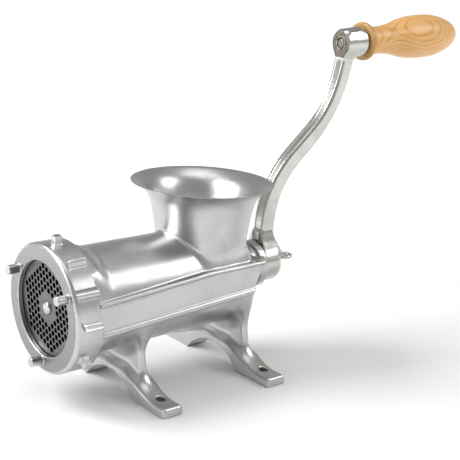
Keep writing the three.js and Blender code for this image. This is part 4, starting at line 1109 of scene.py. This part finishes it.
def stud_outline():
    """The worm's pilot: a dome in the plate's bore, ahead of the square that turns the knife."""
    front, back = span("worm_stud")[0][1], span("worm_stud")[1][1]
    dome = [(6.05 * math.sin(a), front + 2.6 * (1 - math.cos(a))) for a in
            np.linspace(0, math.pi / 2, 12)]
    return [*dome, (6.05, back - 22), (6.9, back - 21.5), (6.9, back - 0.6), (6.3, back), (0, back)]


WASHERS = [        # node, bore, radius, height, material, body and slot
    ("rear_bush", 12.25, 15, AXIS, BRONZE, "root", "bush_bronze"),
    ("thrust_washer", 12.25, 24, AXIS, FIBRE_AND_GAP_SHADE, "root", "washer_fibre"),
    # The crank washer's near-black tone is painted shade for the gap between the boss and the hub.
    ("crank_washer", 12.25, 20.6, AXIS, FIBRE_AND_GAP_SHADE, "crank", "washer_fibre"),
    ("thumb_screw_washer", 4.95, 9.5, AXIS, TURNED_STEEL, "thumb_washer", "turned_steel"),
    ("grip_washer", 5.25, 13, HANDLE_AXIS, SPINDLE_STEEL, "crank", "spindle_steel"),
    ("grip_end_washer", 5.25, 7.5, HANDLE_AXIS, SPINDLE_STEEL, "crank", "spindle_steel"),
]


def make_turned_pieces():
    pieces = [(node, washer(bore, radius, span(node)[0][1], span(node)[1][1]), *rest)
              for node, bore, radius, *rest in WASHERS]
    pieces += [
        ("handle_spindle", spindle_outline(), HANDLE_AXIS, SPINDLE_STEEL, "crank",
         "spindle_steel"),
        ("worm_stud", stud_outline(), AXIS, TURNED_STEEL, "crank", "turned_steel"),
        ("handle_grip", grip_outline(), HANDLE_AXIS, WOOD, "grip", "turned_wood"),
    ]
    for node, outline, height, material, body, slot in pieces:
        piece = turned(node + "_turned", outline, height, [material])
        crisp(piece, 50)
        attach(piece, body)
        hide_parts(node)


def dress_inner_nodes():
    """The knife and the key keep their CAD shape and take the steel finish."""
    for node in ("knife", "plate_key"):
        piece = frame["nodes"][node]
        piece.data.materials.clear()
        piece.data.materials.append(TURNED_STEEL)


# ---- Stage ------------------------------------------------------------------------------------------

CAMERA_AZIMUTH, CAMERA_ELEVATION, CAMERA_ROLL = 51.54, 16.66, 1.58
CAMERA_DISTANCE = 1.1313
CAMERA_LENS = 97.05
CAMERA_TARGET = (81.55, 150.0, 165.86)     # bench millimetres


def make_camera():
    azimuth, elevation, roll = (math.radians(v) for v in
                                (CAMERA_AZIMUTH, CAMERA_ELEVATION, CAMERA_ROLL))
    back = Vector((math.sin(azimuth) * math.cos(elevation),
                   -math.cos(azimuth) * math.cos(elevation), math.sin(elevation)))
    level = Vector((math.cos(azimuth), math.sin(azimuth), 0))
    upright = back.cross(level)
    right = level * math.cos(roll) + upright * math.sin(roll)
    up = upright * math.cos(roll) - level * math.sin(roll)
    data = bpy.data.cameras.new("studio_camera")
    data.lens = CAMERA_LENS
    data.sensor_width = 36
    camera = bpy.data.objects.new("studio_camera", data)
    target = Vector(bench_to_frame(np.array([CAMERA_TARGET]))[0])
    place = target + back * CAMERA_DISTANCE
    turn = Matrix((right, up, back)).transposed().to_4x4()
    camera.matrix_world = Matrix.Translation(place) @ turn
    bpy.context.scene.collection.objects.link(camera)
    bpy.context.scene.camera = camera


def soft_box(name, place, size, power, aim=(0.0, -0.1, 0.1), tint=(1, 1, 1)):
    """A flat studio lamp that looks at a point on the object."""
    data = bpy.data.lights.new(name, "AREA")
    data.shape = "RECTANGLE"
    data.size, data.size_y = size
    data.energy = power
    data.color = tint
    lamp = bpy.data.objects.new(name, data)
    lamp.location = place
    lamp.rotation_euler = (Vector(aim) - Vector(place)).to_track_quat("-Z", "Y").to_euler()
    bpy.context.scene.collection.objects.link(lamp)


def make_world():
    """A pale room, brighter low down."""
    world = bpy.data.worlds.new("pale_room")
    bpy.context.scene.world = world
    world.use_nodes = True
    tree = world.node_tree
    place = tree.nodes.new("ShaderNodeTexCoord").outputs["Generated"]
    split = add(tree, "ShaderNodeSeparateXYZ")
    tree.links.new(place, split.inputs[0])
    sky = add(tree, "ShaderNodeValToRGB")
    tree.links.new(ramp(tree, split.outputs["Z"], 0, 1, -1, 1), sky.inputs[0])
    stops = ((0.0, 0.8), (0.5, 0.7), (0.58, 0.44), (0.8, 0.36), (0.93, 0.4), (1.0, 0.6))
    elements = sky.color_ramp.elements
    for i, (position, value) in enumerate(stops):
        element = elements[i] if i < 2 else elements.new(position)
        element.position = position
        element.color = (value, value, value, 1)
    background = tree.nodes["Background"]
    background.inputs["Strength"].default_value = 1.0
    tree.links.new(sky.outputs[0], background.inputs["Color"])


def make_floor():
    """A white floor that lifts to the backdrop's own white further off."""
    material, tree, shader = new_material("pale_floor", Roughness=0.8, Specular_IOR_Level=0.1)
    place = tree.nodes.new("ShaderNodeTexCoord").outputs["Object"]
    tone = blend_colours(tree, noise(tree, place, 3.0), (0.90, 0.90, 0.90), (0.92, 0.92, 0.92))
    distance = add(tree, "ShaderNodeVectorMath", operation="LENGTH")
    tree.links.new(place, distance.inputs[0])
    lift = ramp(tree, distance.outputs["Value"], 0, 0.7, 0.35, 1.3)
    tree.links.new(tone, shader.inputs["Base Color"])
    tree.links.new(tone, shader.inputs["Emission Color"])
    tree.links.new(lift, shader.inputs["Emission Strength"])
    size = 12000
    corners = [(-size, -size, 0), (size, -size, 0), (size, size, 0), (-size, size, 0)]
    floor = make_piece("floor", corners, [(0, 1, 2, 3)], [material])


def from_bearing(bearing, elevation, distance, target=(0.0, -0.1, 0.12)):
    """A place seen from the object: bearing in degrees from the crank's side towards +X."""
    turn, rise = math.radians(bearing), math.radians(elevation)
    flat = distance * math.cos(rise)
    return (target[0] + flat * math.sin(turn), target[1] + flat * math.cos(turn),
            target[2] + distance * math.sin(rise))


def make_lights():
    """A soft key in front on the left, a strip behind that draws the barrel's bright band, a lamp
    overhead, and a low one in front that lights the throat."""
    soft_box("key", from_bearing(215, 44, 1.9), (0.9, 0.9), 28)
    soft_box("rear_strip", from_bearing(38, 37, 1.7), (0.80, 0.66), 7.5)
    soft_box("overhead", from_bearing(0, 88, 1.9), (1.2, 1.2), 6)
    soft_box("low_front", from_bearing(200, 16, 1.9), (0.9, 0.7), 7)


bpy.context.scene.view_settings.view_transform = "Standard"
make_camera()
make_world()
make_lights()
make_floor()
make_body()
make_ring()
make_plate()
make_worm()
make_crank()
make_thumb_screw()
make_turned_pieces()
dress_inner_nodes()
